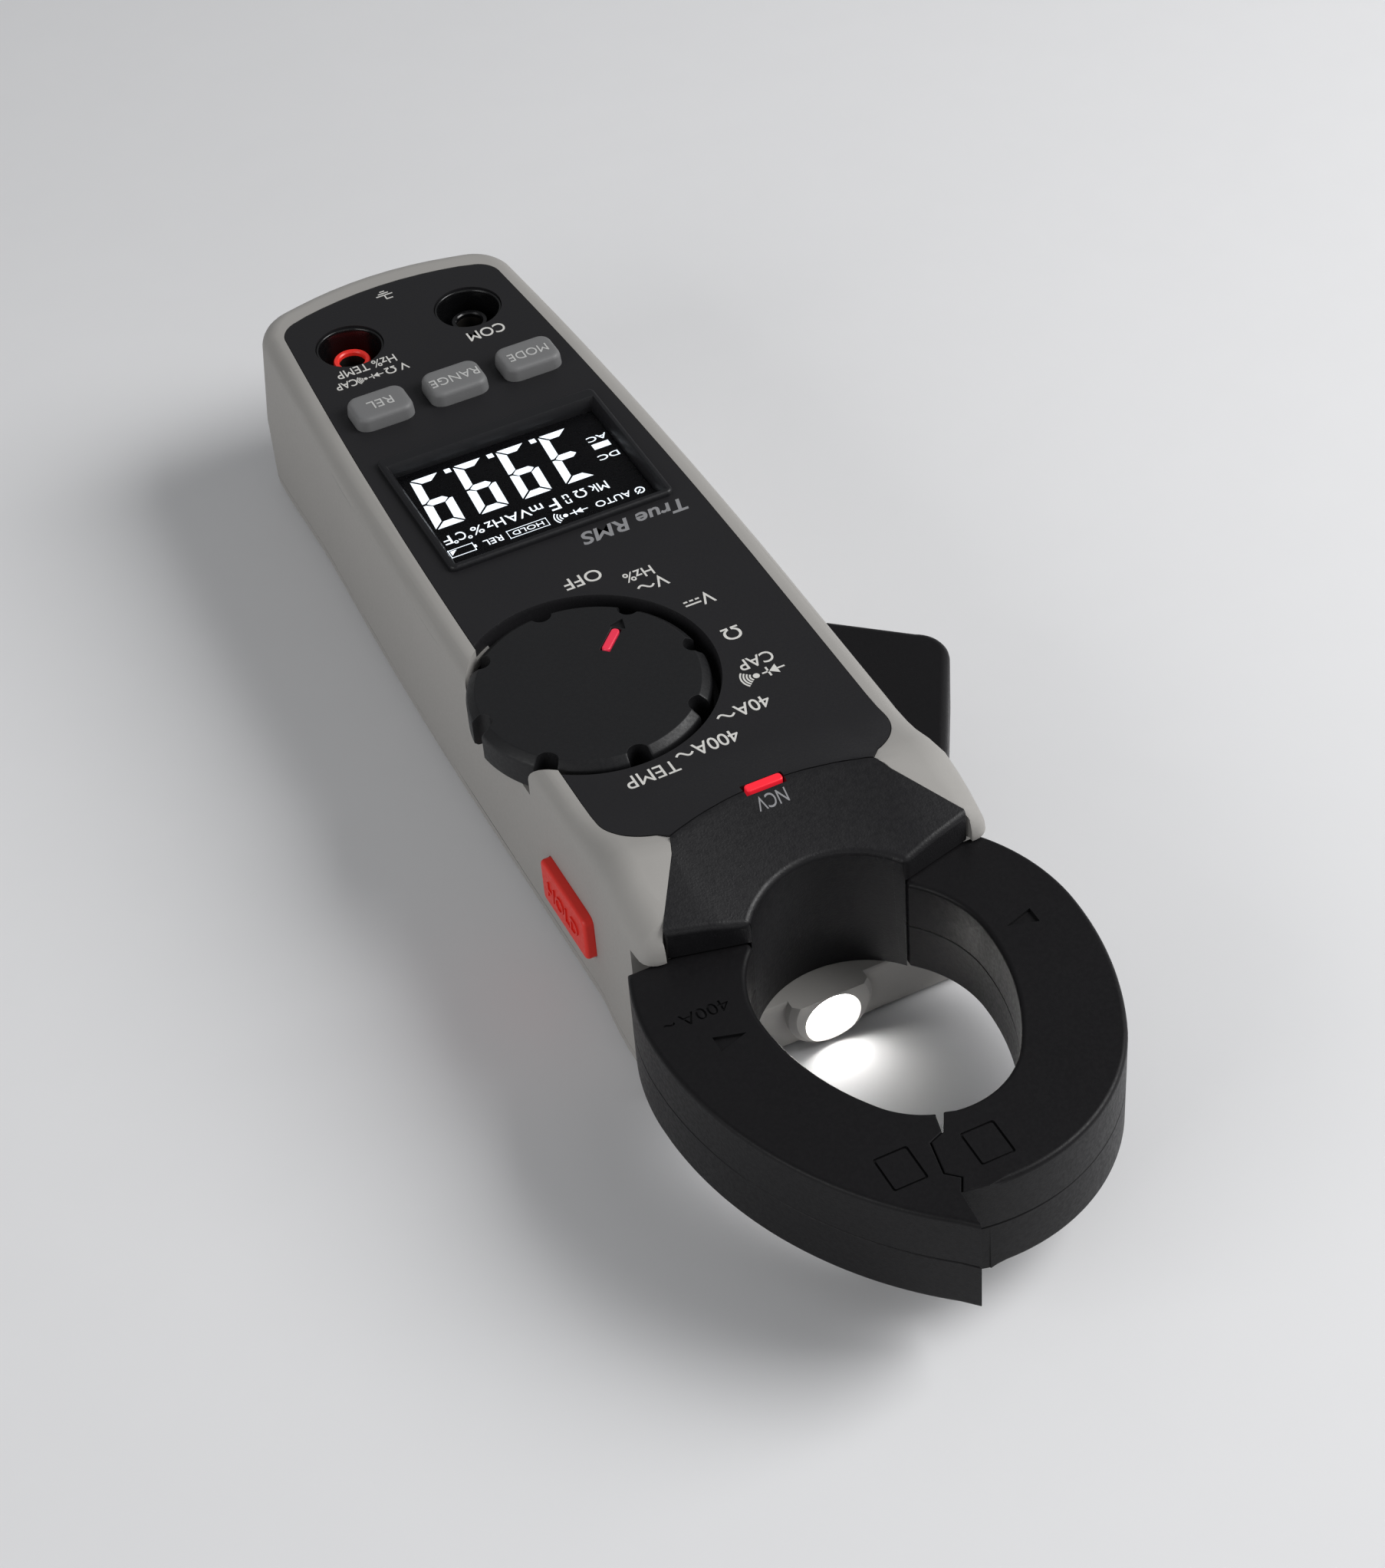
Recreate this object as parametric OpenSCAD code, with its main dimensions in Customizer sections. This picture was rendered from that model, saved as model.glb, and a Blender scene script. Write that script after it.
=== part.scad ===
// Hand-held clamp meter: casing, dial, display, sockets and two spring-loaded current jaws.
// X runs across the face, +Y points to the jaws, +Z comes out of the face, z = 0 is the flat back.
// The origin is on the back, on the centre line, half way along the meter.

/* [Casing] */
// Half width of the casing beside the dial
body_half_w = 24.4; // [23.8:0.1:26]
// Distance from the origin to the socket end of the casing
body_end = 106; // [104:0.5:108]
// Height of the flat face above the back
face_z = 30; // [30:0.5:31]
// Thickness of the casing walls
wall = 2.2; // [1.8:0.1:2.4]
// Width of the grey rim around the face panel
rim_w = 3.2; // [2.8:0.1:3.6]
// Height of the join between the rear cover and the front case
split_z = 3.5; // [3:0.1:4]
// Rise of the face up to the ridge at the collar
ridge_rise = 3.2; // [1:0.1:4]

/* [Jaws] */
// Lower face of the jaws above the back
jaw_z = 9.1; // [9:0.1:9.6]
// Thickness of the jaws
jaw_h = 15.7; // [15:0.1:15.7]
// Radius of the round part of the jaw opening
opening_r = 16; // [15.5:0.1:16.5]
// Distance of each jaw pivot from the centre line
pivot_x = 16; // [15.5:0.1:16.5]
// Distance of the jaw pivots from the origin
pivot_y = 40; // [39.5:0.1:40.5]
// Radius of the two pivot pins
pivot_r = 2.5; // [2:0.1:2.8]

/* [Dial] */
// Radius of the rotary dial
dial_r = 17.2; // [16:0.1:17.4]
// Sideways offset of the dial from the centre line
dial_x = 10.4; // [9.5:0.1:11]
// Radius of the dial's hub, which turns in the floor of the well
dial_hub_r = 4.95; // [4:0.05:5.5]

/* [Sockets] */
// Distance of each socket from the centre line
socket_x = 9.9; // [9.5:0.1:10.2]
// Distance of the sockets from the origin, towards the socket end
socket_y = 88.3; // [87:0.1:89]
// Radius of the shrouded well round each socket
socket_well_r = 5.3; // [5.2:0.05:5.6]
// Radius of the bore that takes a 4 mm test plug
plug_r = 2; // [1.95:0.01:2.05]

/* [Battery] */
// Diameter of one AAA cell
cell_d = 10.4; // [10.2:0.1:10.5]
// Length of one AAA cell
cell_len = 44.5; // [44:0.1:44.6]

/* [Hidden] */

$fn = 48;

gap = 0.1;                        // clearance between neighbouring fixed pieces
run = 0.05;                       // radial clearance of a running fit
taper_y = -5.5;                   // the casing tapers towards the sockets from here
taper_k = 0.000394;               // strength of that taper, per millimetre
flare_y = 30;                     // the horns beside the collar swell from here
flare_len = 22;
flare_w = 0.9;
end_corner_r = 7.5;               // corners of the socket end
end_corner_y = -96.4;
end_rim_w = 5.2;                  // the grey rim is wider round the socket end
panel_corner = [13.8, -94.3];
panel_corner_r = 4.3;
end_arch = 0.01;                  // curvature of the arched socket end
front_y = 48.4;                   // front of the horns and of the chin
notch_y = 44;                     // the side walls stop here, so that the jaws can swing out
ramp_y = 23.3;                    // the face starts to rise here
ridge_y = 34;
collar_front_z = face_z - 1.7;
jaw_top = jaw_z + jaw_h;
jaw_mid = jaw_z + jaw_h / 2;
deck_z = jaw_z - 0.2;             // top of the chin, under the jaws
roof_z = jaw_top + 0.3;           // underside of the collar, over the jaws
panel_t = 2;
ledge_z = face_z - panel_t;
dial_y = 0.3;
dial_t = 5.5;
dial_well_r = dial_r + 0.95;
well_floor_z = face_z - dial_t - 1.1;
well_wall = 1.2;
button_x = 12.1;
button_y = -70;
hold_y = 22.5;
hold_z = 13.4;
board_z = 16.6;
board_t = 1.6;
screw_posts = [[17.6, -77], [-17.6, -77], [19.2, 5], [-19.2, -10]];
door_screw_y = -18;
tray_y0 = -72.5;
tray_y1 = -23.5;
nose_r = 6.2;                     // torch nose under the collar
torch_z = 4.6;
torch_r = 3.7;
lcd_y = -43.8;
lcd_w = 33;
lcd_h = 25;
socket_top = face_z - 2.6;
socket_floor = 12;
opening_y = 62.3;                 // middle of the round part of the jaw opening
root_y = 47.2;                    // the full-height jaws end here, inside only their plates go on
plate_t = 3.8;                    // thickness of the jaws' root plates
link_y = 31;                      // the link pin between the two jaws, at rest
seam_gap = 0.15;

function arc(c, r, a0, a1, n) =
    [for (i = [0:n]) let (a = a0 + (a1 - a0) * i / n) [c[0] + r * cos(a), c[1] + r * sin(a)]];
function mirror_x(points) = [for (i = [len(points) - 1:-1:0]) [-points[i][0], points[i][1]]];
function rounded(w, h, r, n = 5) = concat(
    arc([w / 2 - r, h / 2 - r], r, 0, 90, n), arc([r - w / 2, h / 2 - r], r, 90, 180, n),
    arc([r - w / 2, r - h / 2], r, 180, 270, n), arc([w / 2 - r, r - h / 2], r, 270, 360, n));
function flare(y) = y < flare_y ? 0 : flare_w * sin(180 * (y - flare_y) / flare_len);
function half_w(y) = body_half_w - taper_k * pow(max(taper_y - y, 0), 2) + flare(y);
function end_y(x) = end_arch * x * x - body_end;

// Right-hand half of the casing outline, moved inwards, from its front corner to the socket end
function casing_half(inset, front) =
    let (corner_y = end_corner_y, corner_x = half_w(corner_y) - end_corner_r, r = end_corner_r - inset,
        n = 22)
    concat([for (i = [0:n]) let (y = front + (corner_y - front) * i / n) [half_w(y) - inset, y]],
        arc([corner_x, corner_y], r, -10, -75, 6),
        [for (x = [13, 9, 4.5, 0]) [x, end_y(x) + inset]]);
function casing_points(inset, front) =
    let (half = casing_half(inset, front)) concat(half, mirror_x(half));

module casing_2d(inset = 0, front = front_y) {
    polygon(casing_points(inset, front));
}

// Face panel: its shoulders close in on the collar, and it ends along the curved ridge
seam_r = 40.5;
seam_c = 73.1;
function panel_half(inset) = concat([[0, seam_c - seam_r - inset]],
    arc([0, seam_c], seam_r + inset, -82, -68.6, 4), arc([12.7, 26.2], 8.5 - inset, 66, 0, 6),
    [for (i = [1:14]) let (y = 26.2 - i * 8.6) [half_w(y) - rim_w - inset, y]],
    arc(panel_corner, panel_corner_r - inset, -10, -75, 5),
    [for (x = [12, 8, 4, 0]) [x, end_y(x) + end_rim_w + inset]]);
module panel_2d(inset = 0) {
    half = panel_half(inset);
    polygon(concat(half, mirror_x(half)));
}

// Collar seen from above, without its round bite: it widens towards the jaws
bite_r = 14.1;                    // the round end of the jaw opening
bite_y = 59;
bite_x = 11.1;
bite_wall = 1.8;
function collar_half(inset) = concat(arc([0, seam_c], seam_r - inset, -90, -68.4, 5),
    [[15.9 - inset, 38], [22.2 - inset, 47.7 - inset], [bite_x, 50.5 - inset]]);
module collar_2d(inset = 0) {
    half = collar_half(inset);
    polygon(concat(half, mirror_x(half)));
}

// Side view of the top of the meter, as a slab that reaches from z0 up to the face line
module under_top(z0, drop = 0) {
    rotate([90, 0, 90])
        linear_extrude(height = 4 * body_half_w, center = true)
            polygon([[-body_end - 5, z0], [-body_end - 5, face_z - drop], [ramp_y, face_z - drop],
                [ridge_y, face_z + ridge_rise - drop], [50.6, collar_front_z - drop],
                [60, collar_front_z - drop - 2], [60, z0]]);
}

module at(x, y, z = 0) {
    translate([x, y, z]) children();
}

module rod(r, z0, z1) {
    translate([0, 0, z0]) cylinder(r = r, h = z1 - z0);
}

module prism(z0, z1) {
    translate([0, 0, z0]) linear_extrude(height = z1 - z0) children();
}

module slab(x0, x1, y0, y1, z0, z1) {
    translate([x0, y0, z0]) cube([x1 - x0, y1 - y0, z1 - z0]);
}

module along_y(x, z, y0) {
    translate([x, y0, z]) rotate([-90, 0, 0]) children();
}

module both_sides() {
    children();
    mirror([1, 0, 0]) children();
}

// ---------------------------------------------------------------- casing

module rear_cover() {
    color("lightgray")
    difference() {
        union() {
            difference() {
                prism(0, split_z) casing_2d();
                prism(2, split_z + 1) casing_2d(wall);
            }
            // chin under the jaws, with its deck
            intersection() {
                prism(0, deck_z) casing_2d(gap);
                difference() {
                    slab(-30, 30, 28, front_y, 1, deck_z);
                    slab(-22.2, 22.2, 27, 46.4, 2, deck_z - 1.6);
                    slab(-30, 30, 27, notch_y + gap, split_z, deck_z - 1.6);
                    both_sides() slab(22, 30, 27, notch_y + gap, split_z, deck_z + 1);
                }
            }
            // pivot bosses and torch nose
            both_sides() at(pivot_x, pivot_y) rod(5, 1, deck_z);
            intersection() {
                along_y(0, nose_r, 36) cylinder(r = nose_r, h = 14.2);
                slab(-10, 10, 30, 60, 0, deck_z);
            }
            for (p = screw_posts) at(p[0], p[1]) rod(3.3, 1, split_z);
        }
        // pivot pin seats
        both_sides() at(pivot_x, pivot_y) rod(pivot_r + 0.02, 4, deck_z + 1);
        // torch tunnel, flared at its mouth
        along_y(0, torch_z, 30) cylinder(r = torch_r + gap, h = 30);
        along_y(0, torch_z, 47) cylinder(r1 = torch_r, r2 = torch_r + 0.7, h = 3.4);
        // screw holes with counterbores
        for (p = screw_posts) at(p[0], p[1]) {
            rod(1.6, -1, 5);
            rod(2.9, -1, 2.1);
        }
        // battery opening
        slab(-17.8, 17.8, tray_y0 - 0.7, -14.3, -1, 3);
    }
}

module battery_cover() {
    color("lightgray")
    difference() {
        union() {
            slab(-17.6, 17.6, tray_y0 - 0.5, -14.5, 0, 1.9);
            both_sides() slab(7, 11, tray_y0 + 1.4, tray_y0 + 3.4, 1, 2.5);
            at(0, door_screw_y) rod(3.2, 1, 2.5);
        }
        at(0, door_screw_y) {
            rod(1.5, -1, 4);
            rod(2.8, -1, 1.4);
        }
        // grip ribs pressed into the outside
        for (i = [0:4]) slab(-8, 8, -60 + 2 * i, -59 + 2 * i, -1, 0.4);
    }
}

module screw(shaft_r, head_r, z0, head_t, tip_z) {
    difference() {
        union() {
            rod(head_r, z0, z0 + head_t);
            rod(shaft_r, z0, tip_z);
        }
        for (a = [0, 90]) rotate(a) slab(-head_r * 0.6, head_r * 0.6, -0.35, 0.35, z0 - 1, z0 + 0.8);
    }
}

module battery_cover_screw() {
    color("silver") at(0, door_screw_y) screw(1.15, 2.6, 0.1, 1.25, 8.5);
}

module case_screws() {
    color("silver") for (p = screw_posts) at(p[0], p[1]) screw(1.4, 2.7, 0.2, 1.8, 12.5);
}

module front_case() {
    color("gainsboro")
    difference() {
        union() {
            difference() {
                intersection() {
                    prism(split_z + gap, face_z + 8) casing_2d();
                    under_top(0, -0.3);
                }
                // inside of the shell
                intersection() {
                    prism(0, face_z + 8) casing_2d(wall);
                    under_top(-1, panel_t + 1.5);
                }
                // seats of the face panel and the collar
                prism(20, face_z + 9) panel_2d(1.7);
                intersection() {
                    prism(20, face_z + 9) panel_2d();
                    difference() {
                        slab(-30, 30, -120, 60, 20, 50);
                        under_top(0, panel_t);
                    }
                }
                prism(20, face_z + 9) collar_2d();
                slab(-15.2, 15.2, 33, 37, 20, 50);
                slab(-13.4, 13.4, 30.5, 34, 20, 50);
                // room for the jaws, in front of the notch and under the horns
                slab(-40, 40, notch_y, 60, 0, roof_z);
            }
            for (p = screw_posts) intersection() {
                prism(0, 25) casing_2d(gap);
                union() {
                    at(p[0], p[1]) rod(3, split_z + 0.5, board_z - 0.2);
                    slab(min(p[0], sign(p[0]) * 30), max(p[0], sign(p[0]) * 30), p[1] - 1, p[1] + 1,
                        split_z + 0.5, board_z - 0.2);
                }
            }
        }
        for (p = screw_posts) at(p[0], p[1]) rod(1.5, 0, 14);
        // scallop round the dial well
        at(dial_x, dial_y) rod(dial_well_r + well_wall + gap, well_floor_z - gap, 60);
        // slot of the trigger and hole of the side button
        slab(-40, -20, -8, 38.8, 9.5, 22.5);
        translate([0, hold_y, hold_z]) rotate([90, 0, 90])
            linear_extrude(height = 40) polygon(rounded(14.4, 7.6, 1));
    }
}

module face_panel() {
    color([0.13, 0.13, 0.14])
    difference() {
        union() {
            intersection() {
                prism(20, face_z + 9) panel_2d(gap / 2);
                difference() {
                    under_top(0);
                    under_top(-1, panel_t - 0.05);
                }
            }
            intersection() {
                at(dial_x, dial_y) rod(dial_well_r + well_wall, well_floor_z, face_z);
                prism(20, face_z) casing_2d(0.1);
            }
        }
        at(dial_x, dial_y) rod(dial_well_r, well_floor_z + 1, 50);
        at(dial_x, dial_y) rod(dial_hub_r + run, 20, 50);
        at(0, lcd_y) prism(20, 50) square([lcd_w + 0.4, lcd_h + 0.4], center = true);
        for (i = [-1:1]) at(i * button_x, button_y) prism(20, 50) polygon(rounded(9.6, 7, 2.3));
        both_sides() at(socket_x, -socket_y) rod(socket_well_r, 20, 50);
        slab(-3, 3, 31.6, 36, 20, 50);
    }
}

module collar() {
    color([0.1, 0.1, 0.11])
    difference() {
        union() {
            intersection() {
                prism(roof_z, face_z + 9) collar_2d(gap);
                under_top(0);
            }
            intersection() {
                at(0, bite_y) rod(bite_r + bite_wall, deck_z + gap, roof_z + 1);
                slab(-bite_x, bite_x, 40, 50.5, 0, 40);
            }
        }
        at(0, bite_y) rod(bite_r, 0, 60);
        // hollow underside, leaving solid bosses over the pivots
        difference() {
            intersection() {
                prism(20, face_z + 9) collar_2d(2.2);
                under_top(0, 2.4);
                slab(-30, 30, 30, 46, 0, 60);
            }
            both_sides() at(pivot_x, pivot_y) rod(4.6, 20, 50);
            at(0, bite_y) rod(bite_r + 3, 20, 60);
        }
        both_sides() at(pivot_x, pivot_y) rod(pivot_r + 0.02, 20, roof_z + 2);
        // seat of the light pipe
        slab(-3, 3, 31, 33.7, 20, 50);
    }
}

module ncv_light_pipe() {
    color([0.8, 0.1, 0.12])
    intersection() {
        slab(-2.9, 2.9, 31.7, 33.6, 27, 50);
        under_top(0, -0.35);
    }
}

module ncv_led() {
    color("red") slab(-1.6, 1.6, 31.8, 33.4, 25.4, 26.8);
}

// ---------------------------------------------------------------- display and electronics

module lcd_bezel() {
    color([0.25, 0.25, 0.27])
    difference() {
        union() {
            at(0, lcd_y - 0.75) prism(face_z + 0.02, face_z + 0.9)
                polygon(rounded(lcd_w + 2.2, lcd_h + 3.6, 1.2));
            at(0, lcd_y) prism(face_z - panel_t, face_z + 0.5)
                square([lcd_w + 0.2, lcd_h + 0.2], center = true);
        }
        at(0, lcd_y) prism(20, 50) square([lcd_w - 0.8, lcd_h - 0.8], center = true);
    }
}

module lcd_window() {
    color([0.6, 0.7, 0.75])
        at(0, lcd_y) prism(face_z - 1, face_z - 0.3) square([lcd_w - 1, lcd_h - 1], center = true);
}

module lcd_module() {
    color("black")
    union() {
        at(0, lcd_y) prism(23.5, 27.6) square([lcd_w + 2.6, lcd_h + 2], center = true);
        at(0, lcd_y) prism(27.5, face_z - 1.1) square([lcd_w - 1, lcd_h - 1], center = true);
        both_sides() at(10, lcd_y) prism(board_z + board_t + gap, 24) square([3, 20], center = true);
    }
}

module main_board() {
    color("darkgreen")
    difference() {
        prism(board_z, board_z + board_t) polygon([[-14, -99], [14, -99], [18.2, -95], [19.6, -85],
            [19.9, 18], [-4.5, 18], [-4.5, -12], [-19.9, -12], [-19.6, -85], [-18.2, -95]]);
        at(dial_x, dial_y) rod(3.6, 0, 40);
        both_sides() at(socket_x, -socket_y) rod(socket_well_r + 1.4, 0, 40);
    }
}

module board_chips() {
    color([0.1, 0.1, 0.1])
    union() {
        slab(-6, 6, -29, -17, board_z + board_t, board_z + board_t + 1.6);
        slab(8, 15, -27, -22, board_z + board_t, board_z + board_t + 1.2);
        slab(-16, -12, -66, -62, board_z + board_t, board_z + board_t + 2.5);
    }
}

module buzzer() {
    color([0.15, 0.15, 0.15])
    at(-13, -21, 0) difference() {
        rod(5.5, board_z + board_t + gap, board_z + board_t + 5);
        rod(0.9, board_z + board_t + 3, 40);
    }
}

module tact_switches() {
    color("dimgray")
    for (i = [-1:1]) at(i * button_x, button_y) {
        slab(-3, 3, -3, 3, board_z + board_t, 21.2);
        rod(1.3, 21, 21.9);
    }
}

module hold_switch() {
    color("dimgray")
    translate([0, hold_y, hold_z]) {
        slab(14, 17.4, -3, 3, -3, 3);
        rotate([0, 90, 0]) rod(1.3, 17, 18);
        slab(12.6, 14, -4.5, 4.5, -11.3, 4);
    }
}

module button(x) {
    at(x, button_y) {
        prism(face_z - panel_t - 0.1, face_z + 2.2) polygon(rounded(9.3, 6.7, 2.2));
        prism(face_z - panel_t - 1.5, face_z - panel_t - 0.1) polygon(rounded(11, 8.6, 2.2));
        rod(1.6, 22.8, face_z - panel_t - 1);
    }
}

module mode_button() {
    color("gray") button(-button_x);
}

module range_button() {
    color("gray") button(0);
}

module rel_button() {
    color("gray") button(button_x);
}

module hold_button() {
    color([0.85, 0.16, 0.13])
    translate([0, hold_y, hold_z]) rotate([90, 0, 90]) {
        prism(body_half_w - wall - 0.1, body_half_w + 1.5) polygon(rounded(14.2, 7.4, 0.9));
        prism(body_half_w - wall - 1.3, body_half_w - wall - 0.05) polygon(rounded(16, 8.6, 1));
        rod(1.6, 19.1, body_half_w - wall - 1);
    }
}

// ---------------------------------------------------------------- dial

module dial_knob() {
    color([0.12, 0.12, 0.13])
    at(dial_x, dial_y) difference() {
        union() {
            rod(dial_r, face_z - dial_t + 0.1, face_z + 0.1);
            rod(dial_hub_r, well_floor_z - 0.3, face_z - 1);
            rod(3, 17.2, face_z - 1);
        }
        for (a = [0:45:315]) rotate(a) at(dial_r + 0.5, 0) rod(1.7, 0, 50);
        rotate(225) slab(6.6, 11.4, -0.7, 0.7, face_z - 0.9, 50);
        rotate(225) at(0, 0) prism(face_z - 0.5, 50) polygon([[13.4, 0], [11.8, 1], [11.8, -1]]);
    }
}

module dial_pointer() {
    color([0.85, 0.1, 0.15])
        at(dial_x, dial_y) rotate(225) slab(6.7, 11.3, -0.6, 0.6, face_z - 0.85, face_z + 0.2);
}

module dial_rotor() {
    color("ivory")
    at(dial_x, dial_y) difference() {
        rod(11.5, 19.6, well_floor_z - 0.4);
        rod(3.05, 0, 50);
        for (a = [0:22.5:337.5]) rotate(a) at(12, 0) rod(1.2, 0, 50);
    }
}

module dial_contacts() {
    color("gold")
    at(dial_x, dial_y) for (a = [40, 160, 280]) rotate(a) {
        slab(5, 9.5, -0.8, 0.8, 19.1, 19.55);
        slab(5, 6, -0.8, 0.8, board_z + board_t + 0.1, 19.3);
    }
}

module detent_leaf() {
    color("silver")
    at(dial_x, dial_y) rotate(90) {
        slab(12.4, 13, -6, 6, 20, 22.6);
        at(12.5, 0) difference() {
            rod(0.9, 20, 22.6);
            slab(0, 3, -3, 3, 10, 40);
        }
        slab(11.7, 13, 5, 6, board_z + board_t, 22.6);
    }
}

// ---------------------------------------------------------------- sockets

module socket_block() {
    color([0.08, 0.08, 0.09])
    difference() {
        union() {
            both_sides() at(socket_x, -socket_y)
                rod(socket_well_r + 1.2, socket_floor - 1.5, ledge_z - gap);
            slab(-socket_x, socket_x, -socket_y - 1, -socket_y + 1, socket_floor - 1.5, board_z - gap);
        }
        both_sides() at(socket_x, -socket_y) {
            rod(socket_well_r, socket_floor, 50);
            rod(2.4, 0, 50);
        }
    }
}

module sleeve() {
    difference() {
        rod(3, socket_floor + gap, socket_top);
        rod(2.38, 0, 50);
    }
}

module contact() {
    difference() {
        rod(2.35, 9.5, socket_top - 0.8);
        rod(plug_r, 10.5, 50);
    }
}

module com_sleeve() {
    color([0.07, 0.07, 0.08]) at(-socket_x, -socket_y) sleeve();
}

module v_sleeve() {
    color([0.8, 0.12, 0.1]) at(socket_x, -socket_y) sleeve();
}

module com_contact() {
    color("goldenrod") at(-socket_x, -socket_y) contact();
}

module v_contact() {
    color("goldenrod") at(socket_x, -socket_y) contact();
}

// ---------------------------------------------------------------- torch and battery

module torch_lens() {
    color("white")
    intersection() {
        along_y(0, torch_z, 43.2) cylinder(r = torch_r, h = 5);
        along_y(0, torch_z, 41) sphere(r = 5.6);
    }
}

module torch_reflector() {
    color("silver")
    difference() {
        along_y(0, torch_z, 37.5) cylinder(r = torch_r, h = 5.5);
        along_y(0, torch_z, 37) cylinder(r = 1.7, h = 8);
        along_y(0, torch_z, 38.5) cylinder(r1 = 1.9, r2 = torch_r - 0.4, h = 4.6);
    }
}

module torch_led() {
    color("lightyellow")
    union() {
        along_y(0, torch_z, 34.9) cylinder(r = 1.5, h = 5);
        slab(-3, 3, 34, 35, 2.6, 6.6);
    }
}

module battery_tray() {
    color([0.15, 0.15, 0.16])
    difference() {
        union() {
            slab(-17.2, 17.2, tray_y0, tray_y1, 2.6, 14.4);
            slab(-3, 3, tray_y1 - 1, door_screw_y, 3.2, 9);
            at(0, door_screw_y) rod(3, 3.2, 9);
        }
        slab(-16, 16, tray_y0 + 1.2, tray_y1 - 1.2, 0, 13.3);
        at(0, door_screw_y) rod(1.2, 0, 20);
    }
}

module batteries() {
    color("steelblue")
    for (i = [-1:1]) along_y(i * 10.6, 7.9, (tray_y0 + tray_y1 - cell_len) / 2) {
        cylinder(r = cell_d / 2, h = cell_len - 1);
        cylinder(r = 1.9, h = cell_len);
    }
}

module battery_contacts() {
    color("silver")
    for (i = [-1:1], y = [tray_y0 + 1.25, tray_y1 - 1.6])
        translate([i * 10.6 - 3.5, y, 4]) cube([7, 0.3, 8]);
}

// ---------------------------------------------------------------- jaws

tip_side_r = 34;
tip_r = 12;
tip_dx = tip_side_r - opening_r;
tip_y = opening_y + sqrt(pow(tip_side_r - tip_r, 2) - pow(tip_dx, 2));
tip_a = atan2(tip_y - opening_y, tip_dx);
opening_a = asin((50.9 - opening_y) / opening_r);

// Inner edge of the right jaw from its root up to the seam, and the same for the left jaw
function inner_edge(seam_x) = concat(arc([0, opening_y], opening_r, opening_a, 0, 6),
    arc([-tip_dx, opening_y], tip_side_r, 6, tip_a - 5, 5),
    arc([0, tip_y], tip_r, tip_a, acos(seam_x / tip_r), 5));

// The stepped seam, from the V notch at the opening out to the outer edge
seam = [[5.2, 89.2], [7.3, 90], [8.2, 94.9], [6.6, 96.4], [7.7, 98.3]];
beak = [8.2, 104];

function left_points() = concat(
    arc([-1.2, 63], 27.4, 215.2, 184, 5), arc([18.9, 63], 47.5, 180, 154, 6),
    arc([0.5, 72.5], 26.8, 150, 74.4, 12),
    [for (i = [4:-1:0]) [seam[i][0] - seam_gap, seam[i][1]]],
    [for (p = inner_left()) p], [[-11.3, root_y]]);
function inner_left() = concat([[3.6, 86.7]], [for (p = mirror_x(inner_edge(-3))) p]);
function right_points() = concat([beak], arc([-25.2, 60], 54.9, 49, 3, 12),
    arc([-3.4, 60], 33.1, 0, -22.7, 5), [[11.3, root_y]], inner_edge(4.5), seam);

module left_ring_2d() {
    polygon(left_points());
}

module right_ring_2d() {
    polygon(right_points());
}

// Root of the right jaw: neck and hub. The left one is its mirror image.
module root_2d() {
    at(pivot_x, pivot_y) circle(r = 6);
    polygon([[11.3, 49], [11.3, 40], [21, 40], [20.8, 45], [21.4, 49]]);
}

module tab_2d(reach) {
    angle = atan2(link_y - pivot_y, -pivot_x);
    at(pivot_x, pivot_y) rotate(angle) translate([0, -3]) square([reach, 6]);
}

module half_shell(z0, z1, open_up) {
    difference() {
        prism(z0, z1) children();
        prism(open_up ? z0 + 1.8 : z0 - 1, open_up ? z1 + 1 : z1 - 1.8) offset(delta = -1.9) children();
    }
}

module arrow(x, z) {
    translate([x, 63.5, z]) linear_extrude(height = 2)
        polygon([[-2, -1.2], [2, 0], [-2, 1.2]]);
}

module left_jaw_upper() {
    color([0.11, 0.11, 0.12])
    difference() {
        union() {
            half_shell(jaw_mid + gap / 2, jaw_top, false) left_ring_2d();
            mirror([1, 0, 0]) prism(jaw_top - plate_t, jaw_top) root_2d();
        }
        at(-pivot_x, pivot_y) rod(pivot_r + run, 0, 50);
        arrow(-20.5, jaw_top - 0.4);
    }
}

module left_jaw_lower() {
    color([0.11, 0.11, 0.12])
    difference() {
        union() {
            half_shell(jaw_z, jaw_mid - gap / 2, true) left_ring_2d();
            mirror([1, 0, 0]) prism(jaw_z, jaw_z + plate_t) {
                root_2d();
                tab_2d(21);
            }
        }
        at(-pivot_x, pivot_y) rod(pivot_r + run, 0, 50);
        at(0, link_y) rod(1.52, jaw_z + 1, 50);
    }
}

module right_jaw_upper() {
    color([0.11, 0.11, 0.12])
    difference() {
        union() {
            half_shell(jaw_mid + gap / 2, jaw_top, false) right_ring_2d();
            prism(jaw_top - plate_t, jaw_top) {
                root_2d();
                tab_2d(22);
            }
        }
        at(pivot_x, pivot_y) rod(pivot_r + run, 0, 50);
        link_slot();
        translate([20.5, 0, 0]) mirror([1, 0, 0]) arrow(0, jaw_top - 0.4);
    }
}

module right_jaw_lower() {
    color([0.11, 0.11, 0.12])
    difference() {
        union() {
            half_shell(jaw_z, jaw_mid - gap / 2, true) right_ring_2d();
            prism(jaw_z, jaw_z + plate_t) root_2d();
        }
        at(pivot_x, pivot_y) rod(pivot_r + run, 0, 50);
    }
}

// The link pin slides along this slot of the right jaw as the jaws open
module link_slot() {
    hull() {
        at(-0.1, link_y) rod(1.95, jaw_top - plate_t - 1, 50);
        at(3.9, link_y + 1.1) rod(1.95, jaw_top - plate_t - 1, 50);
    }
}

module link_pin() {
    color("silver") at(0, link_y) rod(1.5, jaw_z + 1.1, jaw_top - 0.5);
}

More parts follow.
